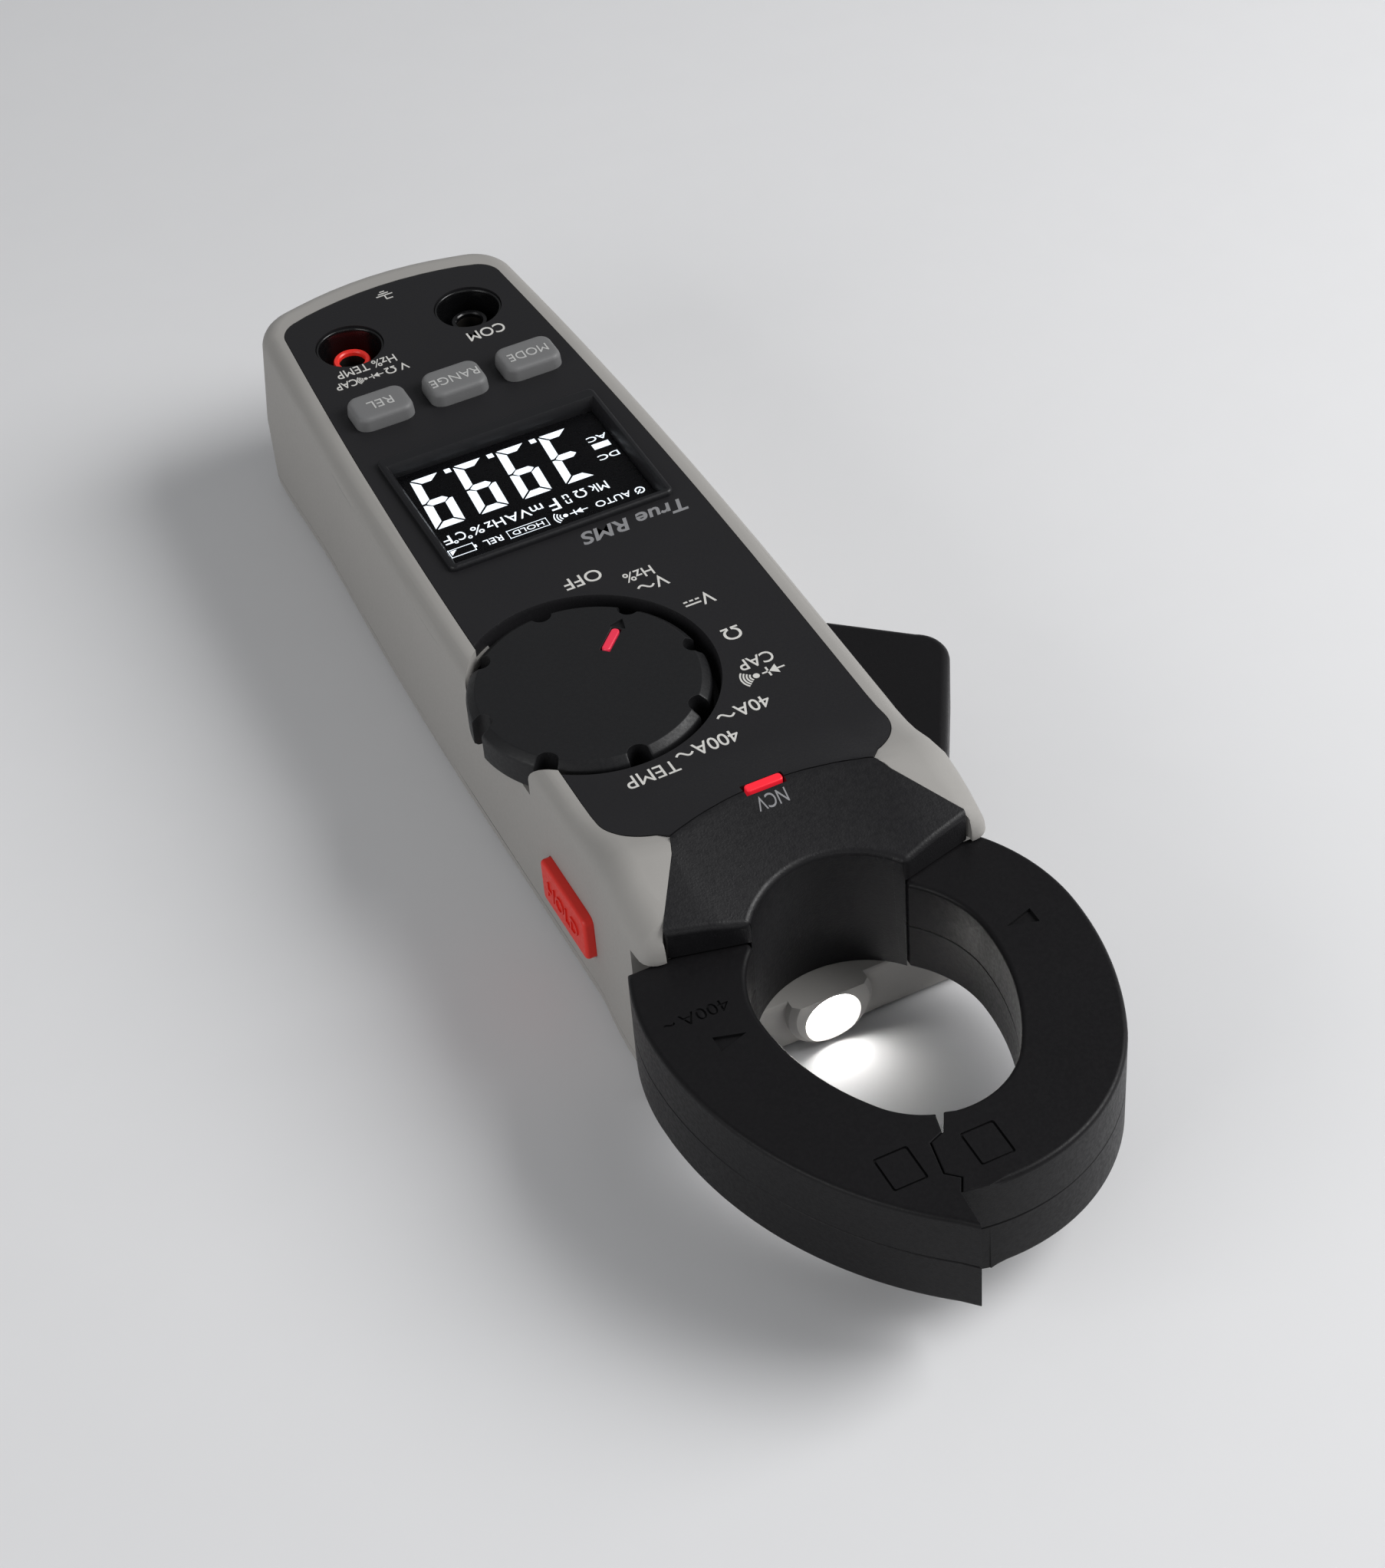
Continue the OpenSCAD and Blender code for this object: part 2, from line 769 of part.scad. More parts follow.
module core(z0, z1) {
    prism(z0, z1) intersection() {
        offset(delta = -3.7) children();
        translate([-40, 50.5]) square([80, 60]);
    }
}

module coil() {
    difference() {
        prism(jaw_z + 2, jaw_top - 2) intersection() {
            offset(delta = -2.1) children();
            translate([-40, 56]) square([80, 22]);
        }
        prism(jaw_z + 3.4, jaw_top - 3.4) offset(delta = -3.6) children();
    }
}

module left_core() {
    color("slategray") core(jaw_z + 3.5, jaw_top - 3.5) left_ring_2d();
}

module right_core() {
    color("slategray") core(jaw_z + 3.5, jaw_top - 3.5) right_ring_2d();
}

module left_coil() {
    color("peru") coil() left_ring_2d();
}

module right_coil() {
    color("peru") coil() right_ring_2d();
}

// Trigger: a hub on the left pivot and a broad grip that stands out of the casing
module grip_2d() {
    polygon(concat([[-19.5, 33], [-21.5, 37.2], [-24.4, 37.4]],
        arc([-35.1, 9.2], 4.9, 150, 240, 6), [[-28, -3.4], [-22.6, -5.2]]));
}

module trigger() {
    color([0.1, 0.1, 0.11])
    difference() {
        union() {
            difference() {
                prism(10.2, 21.8) grip_2d();
                at(-pivot_x, pivot_y) rod(6.4, 0, 50);
            }
            prism(jaw_z + plate_t + 0.1, jaw_z + plate_t + 4.1) {
                at(-pivot_x, pivot_y) circle(r = 5.8);
                polygon([[-19, 42], [-12, 36], [-20.5, 28], [-23, 34]]);
            }
        }
        at(-pivot_x, pivot_y) rod(pivot_r + run, 0, 50);
    }
}

module pivot_pins() {
    color("silver") both_sides() at(pivot_x, pivot_y) rod(pivot_r, 4.1, roof_z + 1.9);
}

module jaw_springs() {
    color("silver")
    both_sides() at(pivot_x, pivot_y) for (i = [0:2])
        translate([0, 0, 17.9 + i * 1.05])
            rotate_extrude() translate([3.7, 0]) circle(r = 0.55, $fn = 16);
}

rear_cover();
battery_cover();
battery_cover_screw();
case_screws();
front_case();
face_panel();
collar();
ncv_light_pipe();
ncv_led();
lcd_bezel();
lcd_window();
lcd_module();
main_board();
board_chips();
buzzer();
tact_switches();
hold_switch();
mode_button();
range_button();
rel_button();
hold_button();
dial_knob();
dial_pointer();
dial_rotor();
dial_contacts();
detent_leaf();
socket_block();
com_sleeve();
v_sleeve();
com_contact();
v_contact();
torch_lens();
torch_reflector();
torch_led();
battery_tray();
batteries();
battery_contacts();
pivot_pins();
jaw_springs();
left_jaw_upper();
left_jaw_lower();
left_core();
left_coil();
trigger();
link_pin();
right_jaw_upper();
right_jaw_lower();
right_core();
right_coil();
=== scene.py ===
"""Looks of the hand-held clamp meter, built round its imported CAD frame.

Shapes are worked out in millimetres in the frame's own axes (x across the face, +y to the jaws,
+z out of the face) and become metres when a mesh is made.
"""
from math import acos, asin, atan2, cos, degrees, pi, radians, sin, sqrt

import bmesh
import bpy
from mathutils import Matrix, Vector


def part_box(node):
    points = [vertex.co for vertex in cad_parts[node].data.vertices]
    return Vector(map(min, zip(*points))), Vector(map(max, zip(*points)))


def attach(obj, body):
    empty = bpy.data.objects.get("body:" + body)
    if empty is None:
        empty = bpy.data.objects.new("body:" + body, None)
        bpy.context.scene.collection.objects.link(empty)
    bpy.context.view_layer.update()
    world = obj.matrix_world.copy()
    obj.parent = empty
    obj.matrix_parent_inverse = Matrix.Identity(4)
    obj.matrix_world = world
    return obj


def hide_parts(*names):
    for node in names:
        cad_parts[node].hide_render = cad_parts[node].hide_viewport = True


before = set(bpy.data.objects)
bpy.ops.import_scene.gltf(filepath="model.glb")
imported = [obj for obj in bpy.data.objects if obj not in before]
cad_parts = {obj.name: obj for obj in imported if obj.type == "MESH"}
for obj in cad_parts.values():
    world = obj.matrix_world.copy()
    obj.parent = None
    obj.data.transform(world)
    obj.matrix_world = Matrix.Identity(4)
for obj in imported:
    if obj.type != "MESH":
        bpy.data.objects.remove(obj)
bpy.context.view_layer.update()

MM = 0.001


def low(node):
    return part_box(node)[0] / MM


def high(node):
    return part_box(node)[1] / MM


def middle(node):
    return (low(node) + high(node)) / 2


# ---------------------------------------------------------------- places taken from the frame

CASING_HIGH = high("front_case")
SOCKET_END = low("front_case").y
FRONT_Y = CASING_HIGH.y
DIAL = middle("dial_knob")
DIAL_R = (high("dial_knob").x - low("dial_knob").x) / 2
FACE_Z = high("dial_knob").z - 0.1
DECK_Z = low("left_jaw_lower").z - 0.2
JAW_LOW = low("left_jaw_lower").z
JAW_TOP = high("left_jaw_upper").z
JAW_MID = (JAW_LOW + JAW_TOP) / 2
ROOF_Z = JAW_TOP + 0.3
LCD = middle("lcd_window")
BEZEL_LOW = low("lcd_bezel")
BEZEL_HIGH = high("lcd_bezel")
SOCKETS = {"com": middle("com_sleeve"), "v": middle("v_sleeve")}
SOCKET_TOP = high("com_sleeve").z
SOCKET_FLOOR = low("com_sleeve").z - 0.1
KEYS = {"mode": middle("mode_button"), "range": middle("range_button"), "rel": middle("rel_button")}
KEY_TOP = high("mode_button").z
HOLD = middle("hold_button")
HOLD_FACE_X = high("hold_button").x
PIVOT_Y = middle("pivot_pins").y
TORCH = middle("torch_lens")

# ---------------------------------------------------------------- driving shapes

HALF_W = 24.4                # half width of the casing beside the dial
WALL = 2.2
SPLIT_Z = 3.5                # rear cover and front case meet here
RIM_W, END_RIM_W = 3.2, 5.2  # grey rim round the face panel, at the sides and the socket end
TAPER_Y, TAPER_K = -5.5, 0.000394          # towards the sockets the sides draw in as a parabola
FLARE_Y, FLARE_LEN, FLARE_W = 30, 22, 0.9  # beside the collar they swell once, as half a sine wave
CORNER_R, CORNER_Y = 7.5, -96.4
PANEL_CORNER, PANEL_CORNER_R = (13.8, -94.3), 4.3
END_XS = (13, 10, 7, 3.5, 0)  # points along the arched socket end
END_ARCH = 0.01
END_BULGE = 1.2              # how far the walls lean out at the socket end
FRONT_CORNER_R = 2.4
FRONT_SHARE = 0.35           # the horns' front edges are rounded less than their sides
TOP_ROUND, HORN_ROUND, END_ROUND = 2.9, 2.0, 0.25  # rim rounding, and what the horns and the end add
BACK_ROUND = 2.6
RAMP_Y, RIDGE_Y, RIDGE_RISE = 23.3, 34, 3.2
COLLAR_FRONT_Y, COLLAR_FRONT_Z = 50.6, FACE_Z - 1.7
SEAM_C, SEAM_R = 73.1, 40.5  # arc along which the face panel meets the collar
BITE_Y, BITE_R, BITE_X = 59, 14.1, 11.1    # round bite in the collar's front
WELL_R = DIAL_R + 0.95
KNOB_R = DIAL_R - 0.3
NOTCH_Y = 44                 # the jaws' roots enter the casing here
NOSE_R, NOSE_LEN, NOSE_Y = 6.2, 14.2, 36
SCREWS = [(17.6, -77), (-17.6, -77), (19.2, 5), (-19.2, -10)]
ABOVE = 60                   # a height clear of everything, for cutters that pass right through


def arc(centre, r, start, end, n):
    steps = [radians(start + (end - start) * i / n) for i in range(n + 1)]
    return [(centre[0] + r * cos(a), centre[1] + r * sin(a)) for a in steps]


def mirrored(points):
    return [(-x, y) for x, y in reversed(points)]


def rounded_box(w, h, r, n=6):
    points = []
    for quarter, (sx, sy) in enumerate(((1, 1), (-1, 1), (-1, -1), (1, -1))):
        centre = (sx * (w / 2 - r), sy * (h / 2 - r))
        points += arc(centre, r, 90 * quarter, 90 * quarter + 90, n)
    return points


def moved(points, dx, dy):
    return [(x + dx, y + dy) for x, y in points]


def turned(points, degrees_):
    a = radians(degrees_)
    return [(x * cos(a) - y * sin(a), x * sin(a) + y * cos(a)) for x, y in points]


def smoothstep(x, a, b):
    t = min(max((x - a) / (b - a), 0), 1)
    return t * t * (3 - 2 * t)


def half_width(y):
    flare = FLARE_W * sin(pi * (y - FLARE_Y) / FLARE_LEN) if y > FLARE_Y else 0
    return HALF_W - TAPER_K * max(TAPER_Y - y, 0) ** 2 + flare


def end_line(x):
    return END_ARCH * x * x + SOCKET_END


def raw_height(y):
    if y < RAMP_Y:
        return FACE_Z
    if y < RIDGE_Y:
        return FACE_Z + RIDGE_RISE * (y - RAMP_Y) / (RIDGE_Y - RAMP_Y)
    slope = (COLLAR_FRONT_Z - FACE_Z - RIDGE_RISE) / (COLLAR_FRONT_Y - RIDGE_Y)
    return FACE_Z + RIDGE_RISE + slope * (y - RIDGE_Y)


def face_height(x, y, soft=2.4):
    """Top of the meter: flat, up a ramp to a ridge along the collar's seam, then down to the jaws."""
    reach = min(abs(x), 16)
    lead = SEAM_C - sqrt(SEAM_R ** 2 - reach ** 2) - RIDGE_Y
    y -= lead * smoothstep(y, 10, 32)
    samples = 8
    spread = soft * (1 - 0.6 * (1 - smoothstep(abs(y - RIDGE_Y), 0, 6)))
    return sum(raw_height(y + spread * (2 * i / samples - 1)) for i in range(samples + 1)) / (samples + 1)


# ---------------------------------------------------------------- meshes

def new_object(name, verts, faces):
    mesh = bpy.data.meshes.new(name)
    mesh.from_pydata([Vector(v) * MM for v in verts], [], faces)
    obj = bpy.data.objects.new(name, mesh)
    bpy.context.scene.collection.objects.link(obj)
    edit(obj, lambda bm: bmesh.ops.recalc_face_normals(bm, faces=bm.faces))
    return obj


def edit(obj, change):
    bm = bmesh.new()
    bm.from_mesh(obj.data)
    change(bm)
    bm.to_mesh(obj.data)
    bm.free()


def stack(name, rings):
    """Closed solid through rings that have equally many points, with flat ends."""
    n, last = len(rings[0]), len(rings) - 1
    faces = [(k * n + i, k * n + (i + 1) % n, (k + 1) * n + (i + 1) % n, (k + 1) * n + i)
             for k in range(last) for i in range(n)]
    faces += [tuple(range(n)), tuple(range(last * n, last * n + n))]
    return new_object(name, [v for ring in rings for v in ring], faces)


def prism(name, outline, z0, z1):
    return stack(name, [[(x, y, z) for x, y in outline] for z in (z0, z1)])


def turned_solid(name, profile, n=96):
    """Solid of revolution about z. profile is a closed loop of (r, z); on the axis r is 0."""
    verts, rows = [], []
    for r, z in profile:
        if r < 1e-6:
            rows.append([len(verts)] * n)
            verts.append((0, 0, z))
        else:
            rows.append(list(range(len(verts), len(verts) + n)))
            verts += [(r * cos(2 * pi * i / n), r * sin(2 * pi * i / n), z) for i in range(n)]
    faces = []
    for a, b in zip(rows, rows[1:] + rows[:1]):
        for i in range(n):
            quad = [a[i], a[(i + 1) % n], b[(i + 1) % n], b[i]]
            unique = list(dict.fromkeys(quad))
            if len(unique) > 2:
                faces.append(tuple(unique))
    return new_object(name, verts, faces)


def disc(name, x, y, r, z0, z1, n=96):
    obj = turned_solid(name, [(0, z0), (r, z0), (r, z1), (0, z1)], n)
    return place(obj, shift(x, y))


def block(name, x0, x1, y0, y1, z0, z1):
    return prism(name, [(x0, y0), (x1, y0), (x1, y1), (x0, y1)], z0, z1)


def place(obj, matrix):
    obj.data.transform(matrix)
    if matrix.determinant() < 0:
        obj.data.flip_normals()
    return obj


def shift(x, y, z=0):
    return Matrix.Translation(Vector((x, y, z)) * MM)


def along_y(obj, x, z, y):
    """Stands a solid that was turned about z on the y axis instead."""
    turn = Matrix.Rotation(radians(-90), 4, "X")
    return place(obj, shift(x, y, z) @ turn)


SIDEWAYS = Matrix(((0, 0, 1, 0), (1, 0, 0, 0), (0, 1, 0, 0), (0, 0, 0, 1)))  # turns z out to +x
HOLD_PLACE = shift(0, HOLD.y, HOLD.z) @ SIDEWAYS
DIAL_PLACE = shift(DIAL.x, DIAL.y)


def bake(obj):
    graph = bpy.context.evaluated_depsgraph_get()
    mesh = bpy.data.meshes.new_from_object(obj.evaluated_get(graph), depsgraph=graph)
    obj.modifiers.clear()
    old = obj.data
    obj.data = mesh
    bpy.data.meshes.remove(old)


def combine(target, operation, *tools):
    for tool in tools:
        modifier = target.modifiers.new("combine", "BOOLEAN")
        modifier.operation = operation
        modifier.solver = "MANIFOLD"
        modifier.object = tool
        bake(target)
        bpy.data.objects.remove(tool)
    return target


def cut(target, *tools):
    return combine(target, "DIFFERENCE", *tools)


def join(target, *tools):
    return combine(target, "UNION", *tools)


def keep(target, *tools):
    return combine(target, "INTERSECT", *tools)


def tidy(obj):
    def clean(bm):
        bmesh.ops.remove_doubles(bm, verts=bm.verts, dist=0.004 * MM)
        bmesh.ops.dissolve_degenerate(bm, edges=bm.edges, dist=0.004 * MM)
        bmesh.ops.dissolve_limit(bm, angle_limit=radians(0.4), verts=bm.verts, edges=bm.edges)
    edit(obj, clean)
    return obj


def round_where(obj, test, width, segments=3, angle=30):
    """Rounds the sharp edges whose middle passes test(x, y, z), in millimetres."""
    def change(bm):
        sharp = [e for e in bm.edges if len(e.link_faces) == 2
                 and e.calc_face_angle(0) > radians(angle)
                 and test(*((e.verts[0].co + e.verts[1].co) / (2 * MM)))]
        bmesh.ops.bevel(bm, geom=sharp, offset=width * MM, offset_type="OFFSET", segments=segments,
                        profile=0.5, affect="EDGES", clamp_overlap=False)
    edit(obj, change)
    return obj


def soften(obj, width=0.2, segments=2, angle=30):
    if width:
        modifier = obj.modifiers.new("edge", "BEVEL")
        modifier.width = width * MM
        modifier.segments = segments
        modifier.limit_method = "ANGLE"
        modifier.angle_limit = radians(angle)
        modifier.use_clamp_overlap = True
        bake(obj)
    obj.data.shade_smooth()
    obj.data.set_sharp_from_angle(angle=radians(38))
    modifier = obj.modifiers.new("normals", "WEIGHTED_NORMAL")
    modifier.keep_sharp = True
    bake(obj)
    return obj


def piece(obj, body, material, slot, *nodes):
    """Hands a finished mesh to the frame: its material, its body and the CAD nodes it stands for."""
    obj.data.materials.clear()
    obj.data.materials.append(material)
    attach(obj, body)
    if nodes:
        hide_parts(*nodes)
    return obj


# ---------------------------------------------------------------- materials

def shader(name):
    material = bpy.data.materials.new(name)
    material.use_nodes = True
    tree = material.node_tree
    return material, tree, tree.nodes["Principled BSDF"]


def noise(tree, scale_mm, detail=3, roughness=0.55):
    coords = tree.nodes.new("ShaderNodeTexCoord")
    node = tree.nodes.new("ShaderNodeTexNoise")
    node.inputs["Scale"].default_value = 1 / (scale_mm * MM)
    node.inputs["Detail"].default_value = detail
    node.inputs["Roughness"].default_value = roughness
    tree.links.new(coords.outputs["Object"], node.inputs["Vector"])
    return node


def ramp(tree, source, low_value, high_value, start=0.35, end=0.65):
    node = tree.nodes.new("ShaderNodeMapRange")
    node.inputs["From Min"].default_value = start
    node.inputs["From Max"].default_value = end
    node.inputs["To Min"].default_value = low_value
    node.inputs["To Max"].default_value = high_value
    tree.links.new(source, node.inputs["Value"])
    return node.outputs["Result"]


def tint(tree, factor, colour_a, colour_b):
    node = tree.nodes.new("ShaderNodeMix")
    node.data_type = "RGBA"
    node.inputs[6].default_value = (*colour_a, 1)
    node.inputs[7].default_value = (*colour_b, 1)
    tree.links.new(factor, node.inputs["Factor"])
    return node.outputs[2]


def moulded(name, colour, roughness, grain_mm=0.3, grain=0.012, mottling=0.12, sheen=0.0, specular=0.5):
    """Moulded plastic or rubber: fine grain, faint mottling of colour and of gloss."""
    material, tree, bsdf = shader(name)
    cloud = noise(tree, 14, 4).outputs["Fac"]
    darker = [c * (1 - mottling) for c in colour]
    lighter = [min(c * (1 + mottling), 1) for c in colour]
    tree.links.new(tint(tree, cloud, darker, lighter), bsdf.inputs["Base Color"])
    speck = noise(tree, grain_mm * 2.2, 3).outputs["Fac"]
    tree.links.new(ramp(tree, speck, roughness - 0.06, roughness + 0.06), bsdf.inputs["Roughness"])
    bump = tree.nodes.new("ShaderNodeBump")
    bump.inputs["Distance"].default_value = grain * MM
    bump.inputs["Strength"].default_value = 1
    tree.links.new(noise(tree, grain_mm, 2).outputs["Fac"], bump.inputs["Height"])
    tree.links.new(bump.outputs["Normal"], bsdf.inputs["Normal"])
    bsdf.inputs["Specular IOR Level"].default_value = specular
    if sheen:
        bsdf.inputs["Sheen Weight"].default_value = sheen
        bsdf.inputs["Sheen Roughness"].default_value = 0.5
    return material


def metal(name, colour, roughness, brushing_mm=0.05):
    material, tree, bsdf = shader(name)
    bsdf.inputs["Metallic"].default_value = 1
    streaks = noise(tree, brushing_mm * 8, 4).outputs["Fac"]
    darker = [c * 0.82 for c in colour]
    tree.links.new(tint(tree, streaks, darker, colour), bsdf.inputs["Base Color"])
    fine = noise(tree, brushing_mm, 2).outputs["Fac"]
    tree.links.new(ramp(tree, fine, roughness - 0.08, roughness + 0.08), bsdf.inputs["Roughness"])
    return material


# Emissive material: used for the real lamps, and also to give a painted glow to unlit red parts.
def glowing(name, colour, strength, body_colour=None, roughness=0.25):
    material, tree, bsdf = shader(name)
    base = body_colour or colour
    cloud = noise(tree, 3, 2).outputs["Fac"]
    tree.links.new(tint(tree, cloud, [c * 0.9 for c in base], base), bsdf.inputs["Base Color"])
    tree.links.new(tint(tree, cloud, [c * 0.93 for c in colour], colour), bsdf.inputs["Emission Color"])
    bsdf.inputs["Emission Strength"].default_value = strength
    bsdf.inputs["Roughness"].default_value = roughness
    return material


def film(name):
    """Thin clear window: mostly see-through, with a faint smeared gloss."""
    material, tree, bsdf = shader(name)
    smear = noise(tree, 9, 3).outputs["Fac"]
    tree.links.new(ramp(tree, smear, 0.10, 0.16), bsdf.inputs["Roughness"])
    tree.links.new(ramp(tree, smear, 0.05, 0.08), bsdf.inputs["Alpha"])
    tree.links.new(tint(tree, smear, (0.01, 0.01, 0.012), (0.02, 0.02, 0.022)), bsdf.inputs["Base Color"])
    bsdf.inputs["Specular IOR Level"].default_value = 0.2
    return material


GREY = moulded("soft_touch_grey", (0.34, 0.328, 0.312), 0.6, 0.2, 0.008, 0.03, 0.05, 0.3)
PANEL = moulded("charcoal_panel", (0.0135, 0.013, 0.0145), 0.45, 0.16, 0.005, 0.08, 0, 0.3)
GRAINED = moulded("grained_black", (0.0095, 0.0092, 0.0103), 0.42, 0.3, 0.03, 0.12, 0, 0.28)
JAW_BLACK = moulded("jaw_black", (0.0078, 0.0074, 0.0082), 0.43, 0.26, 0.014, 0.12, 0, 0.16)
DIAL_BLACK = moulded("dial_black", (0.0105, 0.0105, 0.0115), 0.46, 0.22, 0.010, 0.1, 0, 0.3)
BEZEL = moulded("bezel_grey", (0.012, 0.012, 0.0135), 0.38, 0.2, 0.003, 0.06, 0, 0.28)
WELL_BLACK = moulded("well_black", (0.004, 0.004, 0.0045), 0.24, 0.3, 0.003, 0.1, 0, 0.5)
KEY_GREY = moulded("key_grey", (0.165, 0.165, 0.167), 0.52, 0.2, 0.006, 0.04, 0.05, 0.35)
HOLD_RED = moulded("hold_red", (0.74, 0.030, 0.020), 0.42, 0.25, 0.006, 0.05, 0, 0.4)
# Red socket sleeve: a faint emission makes it glow though it is no lamp; painted glow.
SLEEVE_RED_PAINTED_GLOW = glowing("sleeve_red_painted_glow", (1.0, 0.03, 0.02), 0.14, (0.85, 0.04, 0.03), 0.3)
DISPLAY = moulded("display_black", (0.0015, 0.0015, 0.002), 0.3, 0.4, 0.001, 0.2, 0, 0.1)
PRINT = moulded("printed_cream", (0.66, 0.65, 0.62), 0.6, 0.12, 0.003, 0.03)
PRINT_GREY = moulded("printed_grey", (0.25, 0.25, 0.26), 0.6, 0.12, 0.003, 0.03)
KEY_PRINT = moulded("key_print", (0.50, 0.50, 0.49), 0.6, 0.12, 0.003, 0.03)
BOARD_GREEN = moulded("board_green", (0.012, 0.11, 0.035), 0.35, 0.8, 0.01, 0.2)
CHIP_BLACK = moulded("chip_black", (0.02, 0.02, 0.02), 0.5, 0.2, 0.01, 0.15)
IVORY = moulded("nylon_ivory", (0.62, 0.57, 0.45), 0.5, 0.3, 0.01, 0.06)
CELL_BLUE = moulded("cell_wrap", (0.05, 0.12, 0.33), 0.3, 0.4, 0.004, 0.08)
STEEL = metal("bright_steel", (0.56, 0.55, 0.54), 0.3)
CORE_STEEL = metal("core_steel", (0.25, 0.25, 0.27), 0.45)
BRASS = metal("contact_brass", (0.62, 0.47, 0.22), 0.35)
# Socket contacts: brass darkened to near black as painted shade, for the shadow deep inside the socket
# bores; not a real finish.
CONTACT_PAINTED_SHADE = metal("contact_painted_shade", (0.055, 0.05, 0.045), 0.5)
COPPER = metal("winding_copper", (0.72, 0.33, 0.14), 0.35, 0.2)
CHROME = metal("mirror_chrome", (0.86, 0.86, 0.87), 0.12)
SEGMENTS = glowing("display_white", (0.86, 0.93, 1.0), 0.95)
RED_LAMP = glowing("red_lamp", (1.0, 0.02, 0.04), 0.42, (0.7, 0.015, 0.03), 0.35)
# Red dial pointer: an emission makes it glow though it is no lamp; painted glow.
RED_POINTER_PAINTED_GLOW = glowing("red_pointer", (1.0, 0.06, 0.12), 0.28, (0.6, 0.02, 0.05), 0.35)
WHITE_LAMP = glowing("white_lamp", (1.0, 0.98, 0.94), 22.0)
TORCH_LENS = glowing("torch_glow", (1.0, 0.985, 0.96), 18, (0.9, 0.9, 0.9), 0.1)
WINDOW = film("clear_window")

CAD_FINISH = {
    STEEL: ["battery_cover_screw", "case_screws", "pivot_pins", "jaw_springs", "link_pin", "detent_leaf",
            "battery_contacts"],
    BRASS: ["dial_contacts"],
    CONTACT_PAINTED_SHADE: ["com_contact", "v_contact"],
    CORE_STEEL: ["left_core", "right_core"],
    COPPER: ["left_coil", "right_coil"],
    CHROME: ["torch_reflector"],
    WHITE_LAMP: ["torch_led"],
    RED_LAMP: ["ncv_led"],
    BOARD_GREEN: ["main_board"],
    CHIP_BLACK: ["board_chips", "buzzer", "battery_tray", "tact_switches", "hold_switch"],
    IVORY: ["dial_rotor"],
    CELL_BLUE: ["batteries"],
    DISPLAY: ["lcd_module"],
    WINDOW: ["lcd_window"],
}


def finish_cad_nodes():
    for material, nodes in CAD_FINISH.items():
        for node in nodes:
            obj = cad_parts[node]
            obj.data.materials.clear()
            obj.data.materials.append(material)
            weld = obj.modifiers.new("weld", "WELD")
            weld.merge_threshold = 0.002 * MM
            edge = obj.modifiers.new("edge", "BEVEL")
            edge.width = 0.12 * MM
            edge.segments = 2
            edge.limit_method = "ANGLE"
            edge.angle_limit = radians(40)


# ---------------------------------------------------------------- casing

def casing_half(n=46):
    """Outline of the casing for x > 0, from the front down to the socket end."""
    start = FRONT_Y - FRONT_CORNER_R
    corner_x = half_width(CORNER_Y) - CORNER_R
    side = [start + (CORNER_Y - start) * i / n for i in range(n + 1)]
    points = arc((half_width(start) - FRONT_CORNER_R, start), FRONT_CORNER_R, 90, 12, 5)
    points += [(half_width(y), y) for y in side]
    points += arc((corner_x, CORNER_Y), CORNER_R, -8, -76, 10)
    return points + [(x, end_line(x)) for x in END_XS]


def casing_outline(inset, front_limit=FRONT_Y):
    """Whole outline, drawn in by inset and cut off square at front_limit."""
    half = casing_half()
    inner = [Vector(p) + inward(half, i) * inset for i, p in enumerate(half)]
    inner = [(p.x, min(p.y, front_limit)) for p in inner]
    outline = inner[:1]
    for previous, point in zip(inner, inner[1:]):
        if point[1] < previous[1] - 1e-4 or point[0] < previous[0]:
            outline.append(point)
    return outline + mirrored(outline[:-1])


def inward(points, i):
    """Direction into the casing, seen from above, at point i of the right-hand half."""
    if i == 0:
        return Vector((-1, -FRONT_SHARE))
    if i == len(points) - 1:
        return Vector((0, 1))
    a, b = Vector(points[i - 1]), Vector(points[i + 1])
    along = (b - a).normalized()
    if along.x > 0:
        return Vector((-1, -along.x * FRONT_SHARE))
    return Vector((along.y, -along.x))


def bulge(y):
    """The walls lean out a little below the face at the socket end."""
    return END_BULGE * smoothstep(-y, 72, 100)


def casing_loft(name, levels):
    """Skin over a stack of outlines; each level is a function of a point's y that gives (inset, z).

    The two caps are strips between mirrored points.
    """
    half = casing_half()
    last = len(half) - 1
    verts, faces = [], []
    for level in levels:
        ring = []
        for i, point in enumerate(half):
            inset, z = level(point[1])
            x, y = Vector(point) + inward(half, i) * inset
            ring.append((x, y, z))
        verts += ring + [(-x, y, z) for x, y, z in reversed(ring[:-1])]
    count = 2 * last + 1
    for k in range(len(levels) - 1):
        for i in range(count):
            j = (i + 1) % count
            faces.append((k * count + i, k * count + j, (k + 1) * count + j, (k + 1) * count + i))
    for base in (0, (len(levels) - 1) * count):
        for i in range(last):
            strip = [base + i, base + i + 1, base + count - i - 2, base + count - i - 1]
            faces.append(tuple(dict.fromkeys(strip)))
    return new_object(name, verts, faces)


def top_round(y):
    return TOP_ROUND + HORN_ROUND * smoothstep(y, 20, 38) + END_ROUND * smoothstep(-y, 75, 100)


def top_levels(z_low, steps=7):
    levels = [lambda y: (-bulge(y), z_low), lambda y: (-bulge(y), 14)]
    for k in range(steps + 1):
        a = radians(90 * k / steps)
        levels.append(lambda y, a=a: (top_round(y) * (1 - cos(a)),
                                      face_height(20, y) - top_round(y) * (1 - sin(a))))
    return levels


